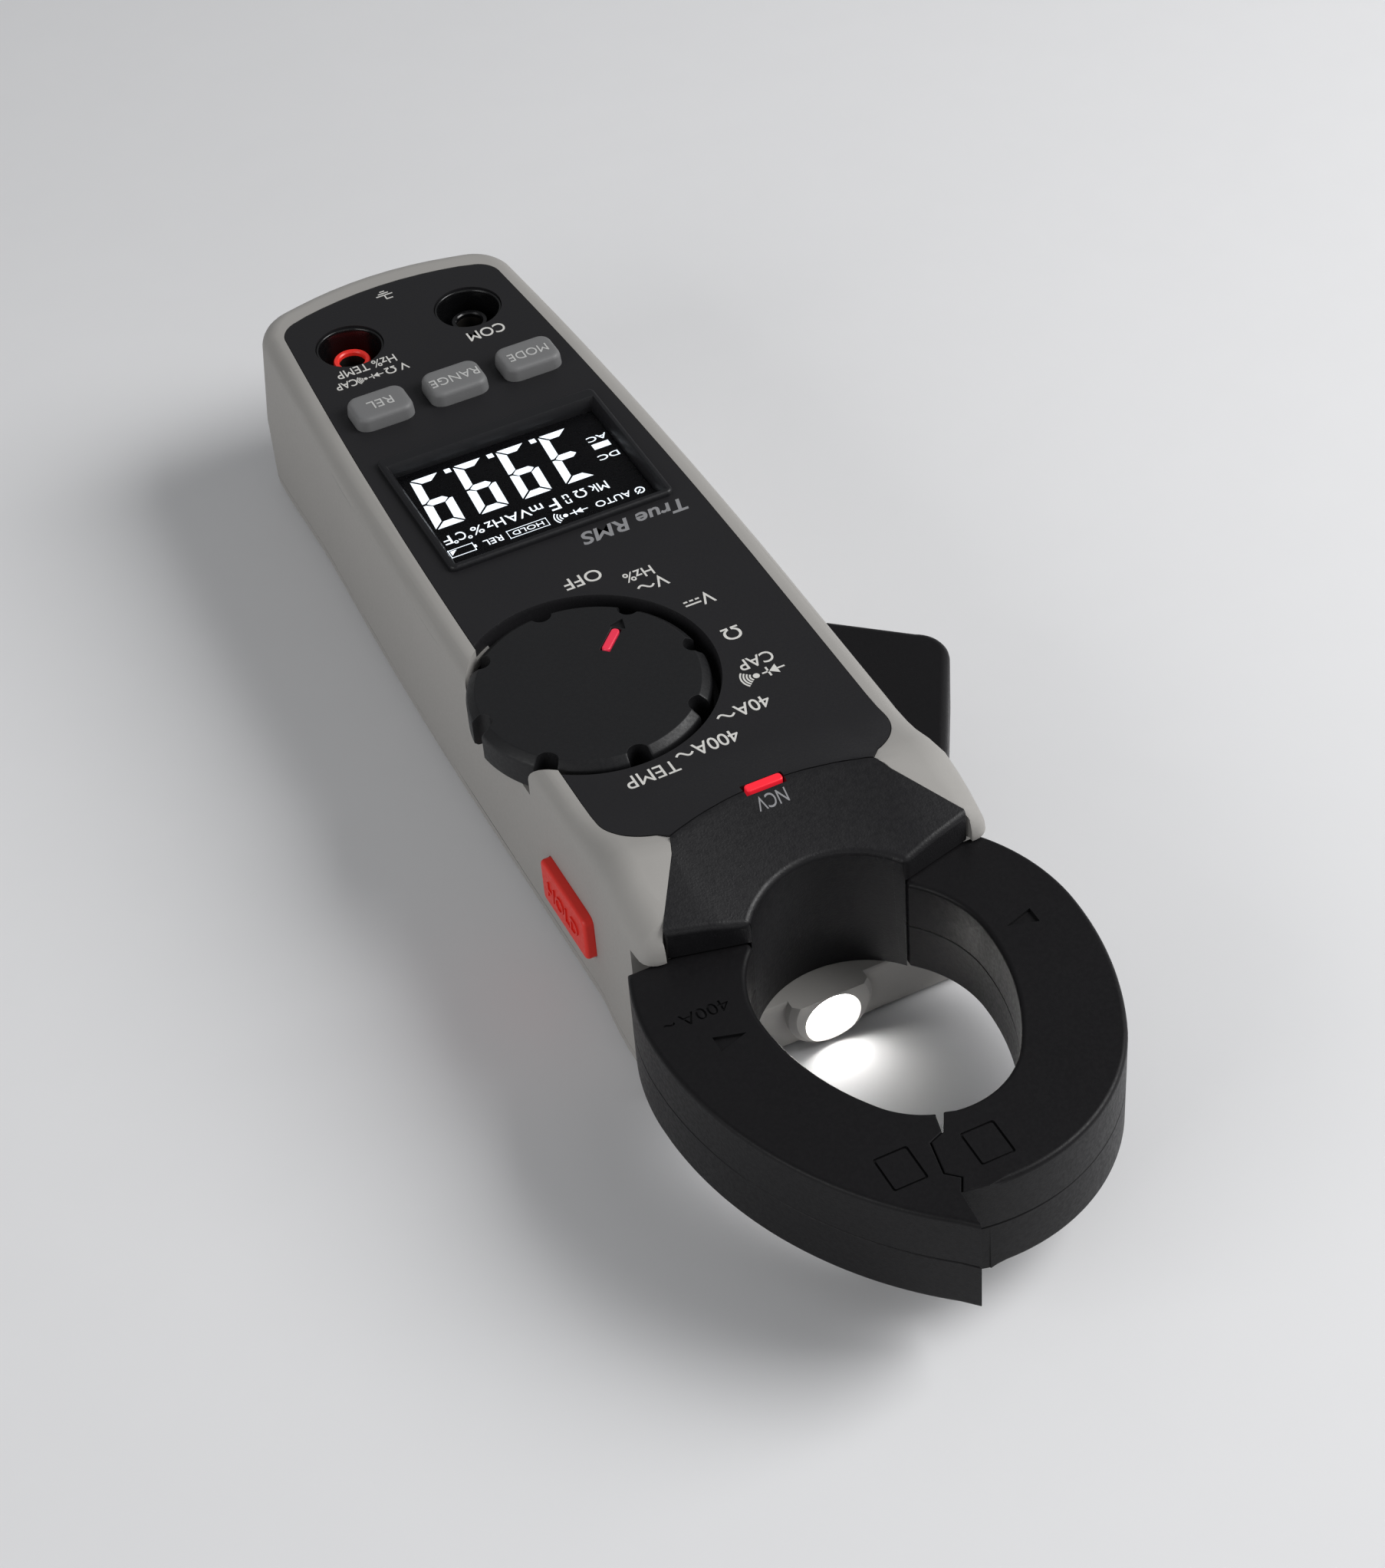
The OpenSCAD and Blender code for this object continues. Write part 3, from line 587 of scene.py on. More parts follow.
def front_case():
    case = casing_loft("grey_front_case", top_levels(SPLIT_Z + 0.08))
    cut(case, prism("hollow", casing_outline(WALL, NOTCH_Y - 0.5), 0, FACE_Z - 3.4))
    cut(case, prism("panel_seat", panel_outline(0), FACE_Z - 2, ABOVE))
    cut(case, prism("ledge", panel_outline(2.6), FACE_Z - 8, ABOVE))
    cut(case, prism("collar_seat", collar_outline(0.02), ROOF_Z - 3, ABOVE))
    cut(case, block("seam", -13.4, 13.4, 30.5, 37, 25, ABOVE))
    cut(case, block("jaw_room", -40, 40, NOTCH_Y, 60, 0, ROOF_Z))
    cut(case, block("collar_front", -22.1, 22.1, 47.7, 60, ROOF_Z - 1, ABOVE))
    cut(case, disc("dial_scallop", DIAL.x, DIAL.y, DIAL_R + 0.4, FACE_Z - 5.8, ABOVE))
    cut(case, block("trigger_slot", -40, -20, -8, 38.8, 9.5, 22.5))
    hole = prism("hold_hole", rounded_box(14.4, 7.6, 1.0), 0, 40)
    cut(case, place(hole, HOLD_PLACE))
    tidy(case)
    soften(case, 0.28, 2, 32)
    piece(case, "casing", GREY, "grey_casing", "front_case")


def back_levels(steps=6):
    levels = []
    for k in range(steps + 1):
        a = radians(90 * k / steps)
        levels.append(lambda y, a=a: (BACK_ROUND * (1 - sin(a)) - bulge(y), BACK_ROUND * (1 - cos(a))))
    return levels


def chin():
    """Lower lip of the casing, under the roots of the jaws."""
    levels = back_levels()
    levels += [lambda y: (0, DECK_Z - 0.9), lambda y: (0.3, DECK_Z - 0.25), lambda y: (0.9, DECK_Z)]
    return keep(casing_loft("chin", levels), block("chin_room", -40, 40, NOTCH_Y + 0.1, 60, -1, 30))


def nose():
    """Torch nose, cut flat where the jaws pass over it."""
    bevel = 0.8
    profile = [(0, 0), (NOSE_R, 0), (NOSE_R, NOSE_LEN - bevel), (NOSE_R - bevel, NOSE_LEN), (0, NOSE_LEN)]
    solid = along_y(turned_solid("nose", profile), 0, NOSE_R, NOSE_Y)
    return keep(solid, block("nose_room", -10, 10, 30, 60, 0, DECK_Z))


def rear_cover():
    levels = back_levels() + [lambda y: (-bulge(y), SPLIT_Z)]
    cover = casing_loft("grey_rear_cover", levels)
    cut(cover, prism("hollow", casing_outline(WALL), 2, 20))
    join(cover, chin())
    join(cover, nose())
    tunnel = turned_solid("tunnel", [(0, 0), (3.8, 0), (3.8, 19), (4.3, 21), (0, 21)])
    cut(cover, along_y(tunnel, 0, TORCH.z, 30))
    cover_low, cover_high = low("battery_cover"), high("battery_cover")
    cut(cover, block("door_hole", cover_low.x - 0.2, cover_high.x + 0.2, cover_low.y - 0.2,
                     cover_high.y + 0.2, -1, 3))
    for x, y in SCREWS:
        cut(cover, disc("screw_well", x, y, 2.9, -1, 2.1, 40))
    tidy(cover)
    soften(cover, 0.2, 2, 32)
    piece(cover, "casing", GREY, "grey_casing", "rear_cover")


def battery_cover():
    lo, hi = low("battery_cover"), high("battery_cover")
    centre = ((lo.x + hi.x) / 2, (lo.y + hi.y) / 2)
    outline = moved(rounded_box(hi.x - lo.x, hi.y - lo.y, 1.2), *centre)
    door = prism("battery_door", outline, 0, 1.9)
    screw = middle("battery_cover_screw")
    cut(door, disc("well", screw.x, screw.y, 2.8, -1, 1.4, 48))
    grooves, first, pitch = 9, 9, 1.9
    for i in range(grooves):
        outline = moved(rounded_box(17 - 0.6 * i, 0.9, 0.44), 0, lo.y + first + pitch * i)
        cut(door, prism("rib", outline, -1, 0.45))
    tidy(door)
    soften(door, 0.25, 2, 32)
    piece(door, "battery_door", GREY, "grey_casing", "battery_cover")


# ---------------------------------------------------------------- face panel and collar

def panel_outline(inset):
    shoulder_x = 12.7
    half = [(0, SEAM_C - SEAM_R - inset)]
    half += arc((0, SEAM_C), SEAM_R + inset, -86, -68.6, 10)
    half += arc((shoulder_x, 26.2), 8.5 - inset, 66, 0, 14)
    steps = 34
    for i in range(1, steps + 1):
        y = 26.2 + (PANEL_CORNER[1] - 26.2) * i / steps
        half.append((half_width(y) - RIM_W - inset, y))
    half += arc(PANEL_CORNER, PANEL_CORNER_R - inset, -8, -76, 9)
    half += [(x, end_line(x) + END_RIM_W + inset) for x in END_XS]
    return half + mirrored(half[1:-1])


def collar_outline(inset):
    half = arc((0, SEAM_C), SEAM_R - inset, -90, -68.4, 12)
    half += [(15.9 - inset, 38), (22.2 - inset, 47.7 - inset), (BITE_X, COLLAR_FRONT_Y - 0.1 - inset)]
    return half + mirrored(half[1:])


def under_surface():
    """Solid that fills everything below the top of the meter."""
    xs = [-26 + 2 * i for i in range(27)]
    ys = [-110, -60, 8] + [10 + i for i in range(46)]
    verts = [(x, y, face_height(x, y)) for y in ys for x in xs]
    verts += [(x, y, 5) for y in ys for x in xs]
    nx, ny = len(xs), len(ys)
    base = nx * ny
    faces = []
    for j in range(ny - 1):
        for i in range(nx - 1):
            a = j * nx + i
            faces.append((a, a + 1, a + nx + 1, a + nx))
            faces.append((base + a, base + a + nx, base + a + nx + 1, base + a + 1))
    rim = list(range(nx)) + [j * nx + nx - 1 for j in range(1, ny)]
    rim += [(ny - 1) * nx + i for i in range(nx - 2, -1, -1)] + [j * nx for j in range(ny - 2, 0, -1)]
    for a, b in zip(rim, rim[1:] + rim[:1]):
        faces.append((a, base + a, base + b, b))
    return new_object("under_surface", verts, faces)


def face_panel():
    panel = prism("charcoal_face_panel", panel_outline(0.1), FACE_Z - 2, ABOVE)
    keep(panel, under_surface())
    cup = disc("cup", DIAL.x, DIAL.y, WELL_R + 1.2, FACE_Z - 6.6, FACE_Z - 0.9)
    keep(cup, prism("room", casing_outline(WALL + 0.3), 0, 60))
    join(panel, cup)
    well = turned_solid("well", [(0, FACE_Z - 5.6), (WELL_R - 0.35, FACE_Z - 5.6), (WELL_R, FACE_Z - 0.6),
                                 (WELL_R + 0.5, FACE_Z + 1), (0, FACE_Z + 1)], 128)
    cut(panel, place(well, DIAL_PLACE))
    cut(panel, disc("hub_hole", DIAL.x, DIAL.y, 5, 0, ABOVE))
    lo, hi, gap = low("lcd_window"), high("lcd_window"), 0.7
    cut(panel, block("display_hole", lo.x - gap, hi.x + gap, lo.y - gap, hi.y + gap, 0, ABOVE))
    for centre in KEYS.values():
        cut(panel, prism("key_hole", moved(rounded_box(9.6, 7.0, 2.3, 8), centre.x, centre.y), 0, ABOVE))
    for socket in SOCKETS.values():
        cut(panel, disc("socket_hole", socket.x, socket.y, 5.3, 0, ABOVE))
    cut(panel, block("light_hole", -3, 3, 31.6, 36, 0, ABOVE))
    tidy(panel)
    soften(panel, 0.18, 2, 32)
    piece(panel, "casing", PANEL, "black_panel", "face_panel")


def collar():
    plate = prism("grained_collar", collar_outline(0.1), ROOF_Z, ABOVE)
    keep(plate, under_surface())
    wall_outline = arc((0, BITE_Y), BITE_R + 1.8, -142, -38, 40) + [(BITE_X, 50.5), (-BITE_X, 50.5)]
    wall = prism("bite_wall", wall_outline, DECK_Z + 0.1, ROOF_Z + 1)
    keep(wall, block("wall_room", -BITE_X, BITE_X, 40, 50.5, 0, 40))
    join(plate, wall)
    cut(plate, disc("bite", 0, BITE_Y, BITE_R, 0, ABOVE, 128))
    cut(plate, block("light_seat", -2.9, 2.9, 31, 33.7, 20, ABOVE))
    tidy(plate)

    def top_front_edge(x, y, z):
        on_bite = abs(sqrt(x * x + (y - BITE_Y) ** 2) - BITE_R) < 0.3
        return z > ROOF_Z + 1 and (on_bite or y > 47.5)

    round_where(plate, top_front_edge, 0.8, 4)
    soften(plate, 0.18, 2, 34)
    piece(plate, "casing", GRAINED, "grained_black", "collar")


def light_bar():
    lo, hi = low("ncv_light_pipe"), high("ncv_light_pipe")
    outline = moved(rounded_box(hi.x - lo.x - 0.5, hi.y - lo.y - 0.5, 0.5), -0.1, (lo.y + hi.y) / 2 - 0.2)
    bar = prism("red_light_bar", outline, 27.2, face_height(0, lo.y + 0.6) + 0.02)
    soften(bar, 0.2, 3, 30)
    piece(bar, "casing", RED_LAMP, "red_lamp", "ncv_light_pipe")


# ---------------------------------------------------------------- jaws and trigger

OPENING_R, OPENING_Y = 16, 62.3
TIP_SIDE_R, TIP_R = 34, 12
TIP_DX = TIP_SIDE_R - OPENING_R
TIP_Y = OPENING_Y + sqrt((TIP_SIDE_R - TIP_R) ** 2 - TIP_DX ** 2)
TIP_A = degrees(atan2(TIP_Y - OPENING_Y, TIP_DX))
ROOT_Y = 47.2
PLATE_T = 3.8
SEAM = [(5.2, 89.2), (7.3, 90), (8.2, 94.9), (6.6, 96.4), (7.7, 98.3)]
BEAK = (8.2, 104)


def inner_edge(seam_x):
    start = degrees(asin((50.9 - OPENING_Y) / OPENING_R))
    edge = arc((0, OPENING_Y), OPENING_R, start, 0, 18)
    edge += arc((-TIP_DX, OPENING_Y), TIP_SIDE_R, 3, TIP_A - 2, 14)
    return edge + arc((0, TIP_Y), TIP_R, TIP_A, degrees(acos(seam_x / TIP_R)), 14)


def left_ring():
    outer = arc((-1.2, 63), 27.4, 215.2, 182, 12) + arc((18.9, 63), 47.5, 180, 153, 18)
    outer += arc((0.5, 72.5), 26.8, 150, 74.4, 30)
    seam = [(x - 0.15, y) for x, y in reversed(SEAM)]
    return outer + seam + [(3.6, 86.7)] + mirrored(inner_edge(-3)) + [(-11.3, ROOT_Y)]


def right_ring():
    outer = [BEAK] + arc((-25.2, 60), 54.9, 50, 3, 34) + arc((-3.4, 60), 33.1, 0, -22.7, 12)
    return outer + [(11.3, ROOT_Y)] + inner_edge(4.5) + SEAM


def root(side, z0, z1, reach=0):
    """Neck and hub of a jaw round its pivot, with a tab to the link pin."""
    neck = [(11.3, 49), (11.3, 40), (21, 40), (20.8, 45), (21.4, 49)]
    solid = join(prism("neck", neck, z0, z1), disc("hub", 16, PIVOT_Y, 6, z0, z1, 64))
    if reach:
        angle = degrees(atan2(31 - PIVOT_Y, -16))
        tab = moved(turned([(0, -3), (reach, -3), (reach, 3), (0, 3)], angle), 16, PIVOT_Y)
        join(solid, prism("tab", tab, z0, z1))
    if side < 0:
        place(solid, Matrix.Scale(-1, 4, (1, 0, 0)))
    return solid


def engrave(shell, side, top):
    """Arrow at the middle of the opening, empty square frame near the tip, and the current on one jaw."""
    arrow = [(2.1, 1.3), (-2.0, 0), (2.1, -1.3)]
    if side < 0:
        arrow = [(-2.1, -1.3), (2.0, 0), (-2.1, 1.3)]
    cut(shell, prism("arrow", moved(arrow, 20.5 * side, 63.5), top - 0.45, top + 1))
    centre = (1.3, 93.3) if side < 0 else (12.3, 91.8)
    groove = moved(rounded_box(4.7, 5.6, 0.3, 2), *centre)
    cut(shell, prism("frame", groove, top - 0.3, top + 1))
    island = moved(rounded_box(4.1, 5.0, 0.2, 2), *centre)
    join(shell, prism("frame", island, top - 0.6, top - 0.03))
    if side > 0:
        cut(shell, letters("400A", 18.2, 24.9, 56.95, 58.95, top - 0.25, top + 1))
        cut(shell, letters("~", 25.6, 27.3, 57.5, 58.1, top - 0.25, top + 1))


def jaw(name, node, outline, side, upper, reach, body):
    z0, z1 = (JAW_MID + 0.04, JAW_TOP) if upper else (JAW_LOW, JAW_MID - 0.04)
    shell = prism(name, outline, z0, z1)
    outer_z, parting_z = (z1, z0) if upper else (z0, z1)

    def at_seam(x, y):
        return 2.9 < x < 8.4 and y > 86

    round_where(shell, lambda x, y, z: abs(z - outer_z) < 0.01 and not at_seam(x, y), 0.7, 4, 8)
    round_where(shell, lambda x, y, z: abs(z - outer_z) < 0.01 and at_seam(x, y), 0.22, 2, 8)
    round_where(shell, lambda x, y, z: abs(z - parting_z) < 0.01, 0.12, 1, 8)
    plate = root(side, z1 - PLATE_T, z1, reach) if upper else root(side, z0, z0 + PLATE_T, reach)
    join(shell, plate)
    cut(shell, disc("pin_hole", 16 * side, PIVOT_Y, 2.55, 0, 60, 48))
    if upper:
        engrave(shell, side, z1)
    tidy(shell)
    soften(shell, 0.12, 2, 40)
    piece(shell, body, JAW_BLACK, "grained_black", node)


def jaws():
    jaw("jaw_left_top", "left_jaw_upper", left_ring(), -1, True, 0, "left_jaw")
    jaw("jaw_left_bottom", "left_jaw_lower", left_ring(), -1, False, 21, "left_jaw")
    jaw("jaw_right_top", "right_jaw_upper", right_ring(), 1, True, 22, "right_jaw")
    jaw("jaw_right_bottom", "right_jaw_lower", right_ring(), 1, False, 0, "right_jaw")


def trigger():
    outline = [(-19.5, 33), (-21.5, 37.2), (-24.4, 37.4)]
    outline += arc((-35.1, 9.2), 4.9, 150, 240, 12) + [(-28, -3.4), (-22.6, -5.2)]
    lo, hi = low("trigger").z, high("trigger").z
    grip = prism("trigger_grip", outline, 10.2, hi)
    round_where(grip, lambda x, y, z: x < -22 and (z < 10.3 or z > hi - 0.1), 1.3, 4, 20)
    hub = disc("hub", -16, PIVOT_Y, 5.8, lo, lo + 4, 48)
    arm = prism("arm", [(-19, 42), (-12, 36), (-20.5, 28), (-23, 34)], lo, lo + 4)
    join(hub, arm)
    join(grip, hub)
    cut(grip, disc("pin_hole", -16, PIVOT_Y, 2.55, 0, 60, 48))
    tidy(grip)
    soften(grip, 0.15, 2, 34)
    piece(grip, "left_jaw", JAW_BLACK, "grained_black", "trigger")


# ---------------------------------------------------------------- dial, keys and display

def dial():
    top, bottom = FACE_Z + 0.1, FACE_Z - 5.4
    edge = 1.3
    profile = [(0, FACE_Z - 6.9), (4.9, FACE_Z - 6.9), (4.9, bottom), (KNOB_R - 0.5, bottom),
               (KNOB_R, bottom + 0.5), (KNOB_R, top - edge), (KNOB_R - 0.3, top - edge * 0.62),
               (KNOB_R - edge, top), (0, top)]
    knob = turned_solid("dial_cap", profile, 160)
    for k in range(8):
        groove = arc((KNOB_R - 0.8, 0), 1.55, 90, 270, 14) + [(KNOB_R + 3, -1.9), (KNOB_R + 3, 1.9)]
        cut(knob, prism("groove", turned(groove, 45 * k), bottom - 0.1, top + 1))
    pointer = turned([(6.6, -0.75), (11.4, -0.75), (11.4, 0.75), (6.6, 0.75)], 225)
    cut(knob, prism("pointer_seat", pointer, top - 0.9, top + 1))
    cut(knob, prism("arrow", turned([(13.6, 0), (11.7, 1.15), (11.7, -1.15)], 225), top - 0.5, top + 1))
    tidy(knob)
    soften(knob, 0.14, 2, 34)
    place(knob, DIAL_PLACE)
    piece(knob, "dial", DIAL_BLACK, "dial_black", "dial_knob")
    bar_outline = turned(moved(rounded_box(4.6, 1.2, 0.55), 9, 0), 225)
    bar = prism("dial_pointer_bar", bar_outline, top - 0.9, top + 0.12)
    soften(bar, 0.2, 3, 30)
    place(bar, DIAL_PLACE)
    piece(bar, "dial", RED_POINTER_PAINTED_GLOW, "red_pointer", "dial_pointer")


def key(name, centre, node, body):
    """Rubber key: its sides lean in and its top edge rounds over onto a flat top."""
    w, h = 9.3, 6.7
    rings = []
    for z, inset, r in ((-3.6, 0, 1.7), (0.2, 0, 1.7), (1.45, 0.1, 1.7), (1.78, 0.2, 1.65),
                        (2.0, 0.36, 1.55), (2.13, 0.58, 1.4), (2.18, 0.9, 1.2), (2.2, 1.5, 1.0)):
        outline = moved(rounded_box(w - 2 * inset, h - 2 * inset, r, 8), centre.x, centre.y)
        rings.append([(x, y, FACE_Z + z) for x, y in outline])
    cap = stack(name, rings)
    join(cap, disc("plunger", centre.x, centre.y, 1.6, 22.8, FACE_Z - 3, 32))
    soften(cap, 0)
    piece(cap, body, KEY_GREY, "grey_rubber", node)


def hold_button():
    w, h = 14.2, 7.4
    x0, x1 = HALF_W - WALL - 0.1, HOLD_FACE_X
    button = prism("hold_key_cap", rounded_box(w, h, 0.9), x0, x1)
    round_where(button, lambda x, y, z: z > x1 - 0.05, 0.55, 4, 30)
    flange = prism("flange", rounded_box(16, 8.6, 1), x0 - 1.2, x0 + 0.05)
    join(button, flange)
    join(button, disc("plunger", 0, 0, 1.6, 19.1, x0, 32))
    soften(button, 0.1, 2, 34)
    place(button, HOLD_PLACE)
    piece(button, "hold_key", HOLD_RED, "red_rubber", "hold_button")


def bezel():
    lo, hi = BEZEL_LOW, BEZEL_HIGH
    w, h = hi.x - lo.x, hi.y - lo.y
    cx, cy = (lo.x + hi.x) / 2, (lo.y + hi.y) / 2
    surround = prism("display_bezel", moved(rounded_box(w, h, 1.1), cx, cy), FACE_Z - 0.5, hi.z)
    round_where(surround, lambda x, y, z: z > hi.z - 0.01, 0.55, 3, 30)
    glass_w = high("lcd_window").x - low("lcd_window").x
    glass_h = high("lcd_window").y - low("lcd_window").y
    a, b = glass_w / 2 + 0.6, glass_h / 2 + 0.6
    join(surround, block("lip", LCD.x - a, LCD.x + a, LCD.y - b, LCD.y + b, FACE_Z - 2, FACE_Z - 0.3))
    rings = []
    for grow, z in ((0.1, FACE_Z - 3), (0.1, FACE_Z - 0.25), (0.75, hi.z + 0.02), (0.75, hi.z + 1)):
        a, b = glass_w / 2 + grow, glass_h / 2 + grow
        corners = ((-a, -b), (a, -b), (a, b), (-a, b))
        rings.append([(LCD.x + dx, LCD.y + dy, z) for dx, dy in corners])
    cut(surround, stack("opening", rings))
    tidy(surround)
    soften(surround, 0.1, 2, 30)
    piece(surround, "casing", BEZEL, "bezel_grey", "lcd_bezel")


# ---------------------------------------------------------------- sockets and torch

def sockets():
    wells = None
    for socket in SOCKETS.values():
        cup = turned_solid("cup", [
            (2.4, SOCKET_FLOOR - 1.5), (6.5, SOCKET_FLOOR - 1.5), (6.5, FACE_Z - 2.1), (6.3, FACE_Z - 2.1),
            (5.2, FACE_Z - 0.25), (4.9, FACE_Z - 0.3), (4.75, FACE_Z - 0.8), (4.75, SOCKET_FLOOR),
            (2.4, SOCKET_FLOOR)], 96)
        place(cup, shift(socket.x, socket.y))
        wells = join(wells, cup) if wells else cup
    wells.name = "socket_wells"
    soften(wells, 0.12, 2, 34)
    piece(wells, "casing", WELL_BLACK, "socket_black", "socket_block")
    for name, material, slot in (("com", WELL_BLACK, "socket_black"), ("v", SLEEVE_RED_PAINTED_GLOW, "socket_red")):
        bottom, top = SOCKET_FLOOR + 0.1, SOCKET_TOP
        sleeve = turned_solid(name + "_sleeve_ring", [
            (2.38, bottom), (2.85, bottom), (2.85, top - 0.25), (2.7, top), (2.2, top),
            (2.03, top - 0.2), (2.03, top - 0.75), (2.38, top - 0.75)], 64)
        place(sleeve, shift(SOCKETS[name].x, SOCKETS[name].y))
        soften(sleeve, 0)
        piece(sleeve, "casing", material, slot, name + "_sleeve")


def lettering(text, x0, x1, y0, y1, resolution, weight=0.0, shear=0.0, extrude=0.0):
    """Mesh of a word that just fills the box x0..x1, y0..y1."""
    curve = bpy.data.curves.new("letters", "FONT")
    curve.body = text
    curve.offset = weight
    curve.shear = shear
    curve.extrude = extrude
    curve.resolution_u = resolution
    word = bpy.data.objects.new("letters", curve)
    bpy.context.scene.collection.objects.link(word)
    graph = bpy.context.evaluated_depsgraph_get()
    mesh = bpy.data.meshes.new_from_object(word.evaluated_get(graph), depsgraph=graph)
    bpy.data.objects.remove(word)
    xs = [v.co.x for v in mesh.vertices]
    ys = [v.co.y for v in mesh.vertices]
    left, bottom = min(xs), min(ys)
    wide, tall = max(xs) - left, max(ys) - bottom
    for v in mesh.vertices:
        v.co.x = x0 + (v.co.x - left) * (x1 - x0) / wide
        v.co.y = y0 + (v.co.y - bottom) * (y1 - y0) / tall
    return mesh


def letters(text, x0, x1, y0, y1, z0, z1):
    """Solid letters, to be sunk into a face."""
    mesh = lettering(text, x0, x1, y0, y1, 3, extrude=0.5)
    for v in mesh.vertices:
        v.co.z = (z1 + z0) / 2 + v.co.z * (z1 - z0)
    mesh.transform(Matrix.Scale(MM, 4))
    solid = bpy.data.objects.new("letters", mesh)
    bpy.context.scene.collection.objects.link(solid)
    edit(solid, lambda bm: bmesh.ops.remove_doubles(bm, verts=bm.verts, dist=0.001 * MM))
    return solid


def torch():
    r, barrel, crown = 3.7, 4.7, 1.5
    dome = [(r * cos(radians(a)), barrel + crown * sin(radians(a))) for a in range(0, 90, 9)]
    dome = [(0, 0), (r, 0)] + dome + [(0, barrel + crown)]
    lens = along_y(turned_solid("torch_dome", dome, 64), 0, TORCH.z, 43.2)
    soften(lens, 0)
    piece(lens, "casing", TORCH_LENS, "torch_clear", "torch_lens")


# ---------------------------------------------------------------- lettering and symbols

class Marks:
    """Collects flat marks and makes them one thin raised mesh that lies on a surface."""

    def __init__(self, name, surface, thickness=0.05):
        self.name, self.surface, self.thickness = name, surface, thickness
        self.verts, self.faces = [], []

    def add(self, points, faces):
        base = len(self.verts)
        self.verts += points
        self.faces += [tuple(base + i for i in face) for face in faces]

    def shape(self, outline):
        self.add(list(outline), [tuple(range(len(outline)))])

    def text(self, body, x0, x1, y0, y1, weight=0.005, shear=0.0):
        mesh = lettering(body, x0, x1, y0, y1, 5, weight, shear)
        points = [(v.co.x, v.co.y) for v in mesh.vertices]
        self.add(points, [tuple(p.vertices) for p in mesh.polygons])
        bpy.data.meshes.remove(mesh)

    def line(self, points, width):
        left, right = [], []
        for i, p in enumerate(points):
            a = Vector(points[max(i - 1, 0)])
            b = Vector(points[min(i + 1, len(points) - 1)])
            along = (b - a).normalized()
            across = Vector((-along.y, along.x)) * width / 2
            left.append(tuple(Vector(p) + across))
            right.append(tuple(Vector(p) - across))
        n = len(points)
        self.add(left + right, [(i, i + 1, n + i + 1, n + i) for i in range(n - 1)])

    def bar(self, x0, x1, y0, y1):
        self.shape([(x0, y0), (x1, y0), (x1, y1), (x0, y1)])

    def wave(self, x0, x1, y, height, width):
        steps = 16
        shares = [i / steps for i in range(steps + 1)]
        self.line([(x0 + (x1 - x0) * t, y + height * sin(2 * pi * t)) for t in shares], width)

    def direct_current(self, x0, x1, y, width):
        self.bar(x0, x1, y + 0.25, y + 0.25 + width)
        dash = (x1 - x0) / 4
        for i in range(3):
            start = x0 + i * 1.5 * dash
            self.bar(start, start + dash, y - 0.25 - width, y - 0.25)

    def diode(self, x0, x1, y, size):
        tip = x0 + (x1 - x0) * 0.68
        back = x0 + (x1 - x0) * 0.32
        self.shape([(back, y - size), (tip, y), (back, y + size)])
        self.bar(tip, tip + 0.3 * size, y - size, y + size)
        self.bar(x0, back + 0.01, y - 0.14 * size, y + 0.14 * size)
        self.bar(tip, x1, y - 0.14 * size, y + 0.14 * size)

    def sound(self, x, y, size, arcs=4):
        self.shape(arc((x, y), 0.22 * size, 0, 330, 11))
        for k in range(1, arcs + 1):
            r = size * (0.2 + 0.8 * k / arcs)
            self.line(arc((x, y), r, -42, 42, 10), 0.11 * size)

    def make(self, body, material, slot, matrix=None):
        solid_verts = [(x, y, self.surface(x, y) + self.thickness) for x, y in self.verts]
        mark = new_object(self.name, solid_verts, self.faces)

        def thicken(bm):
            bmesh.ops.remove_doubles(bm, verts=bm.verts, dist=0.002 * MM)
            for face in bm.faces:
                if face.normal.z < 0:
                    face.normal_flip()
            grown = bmesh.ops.extrude_face_region(bm, geom=list(bm.faces))
            moved_verts = [g for g in grown["geom"] if isinstance(g, bmesh.types.BMVert)]
            for vert in moved_verts:
                vert.co.z -= 1.6 * self.thickness * MM
            bmesh.ops.recalc_face_normals(bm, faces=bm.faces)
        edit(mark, thicken)
        if matrix is not None:
            place(mark, matrix)
        piece(mark, body, material, slot)
        return mark


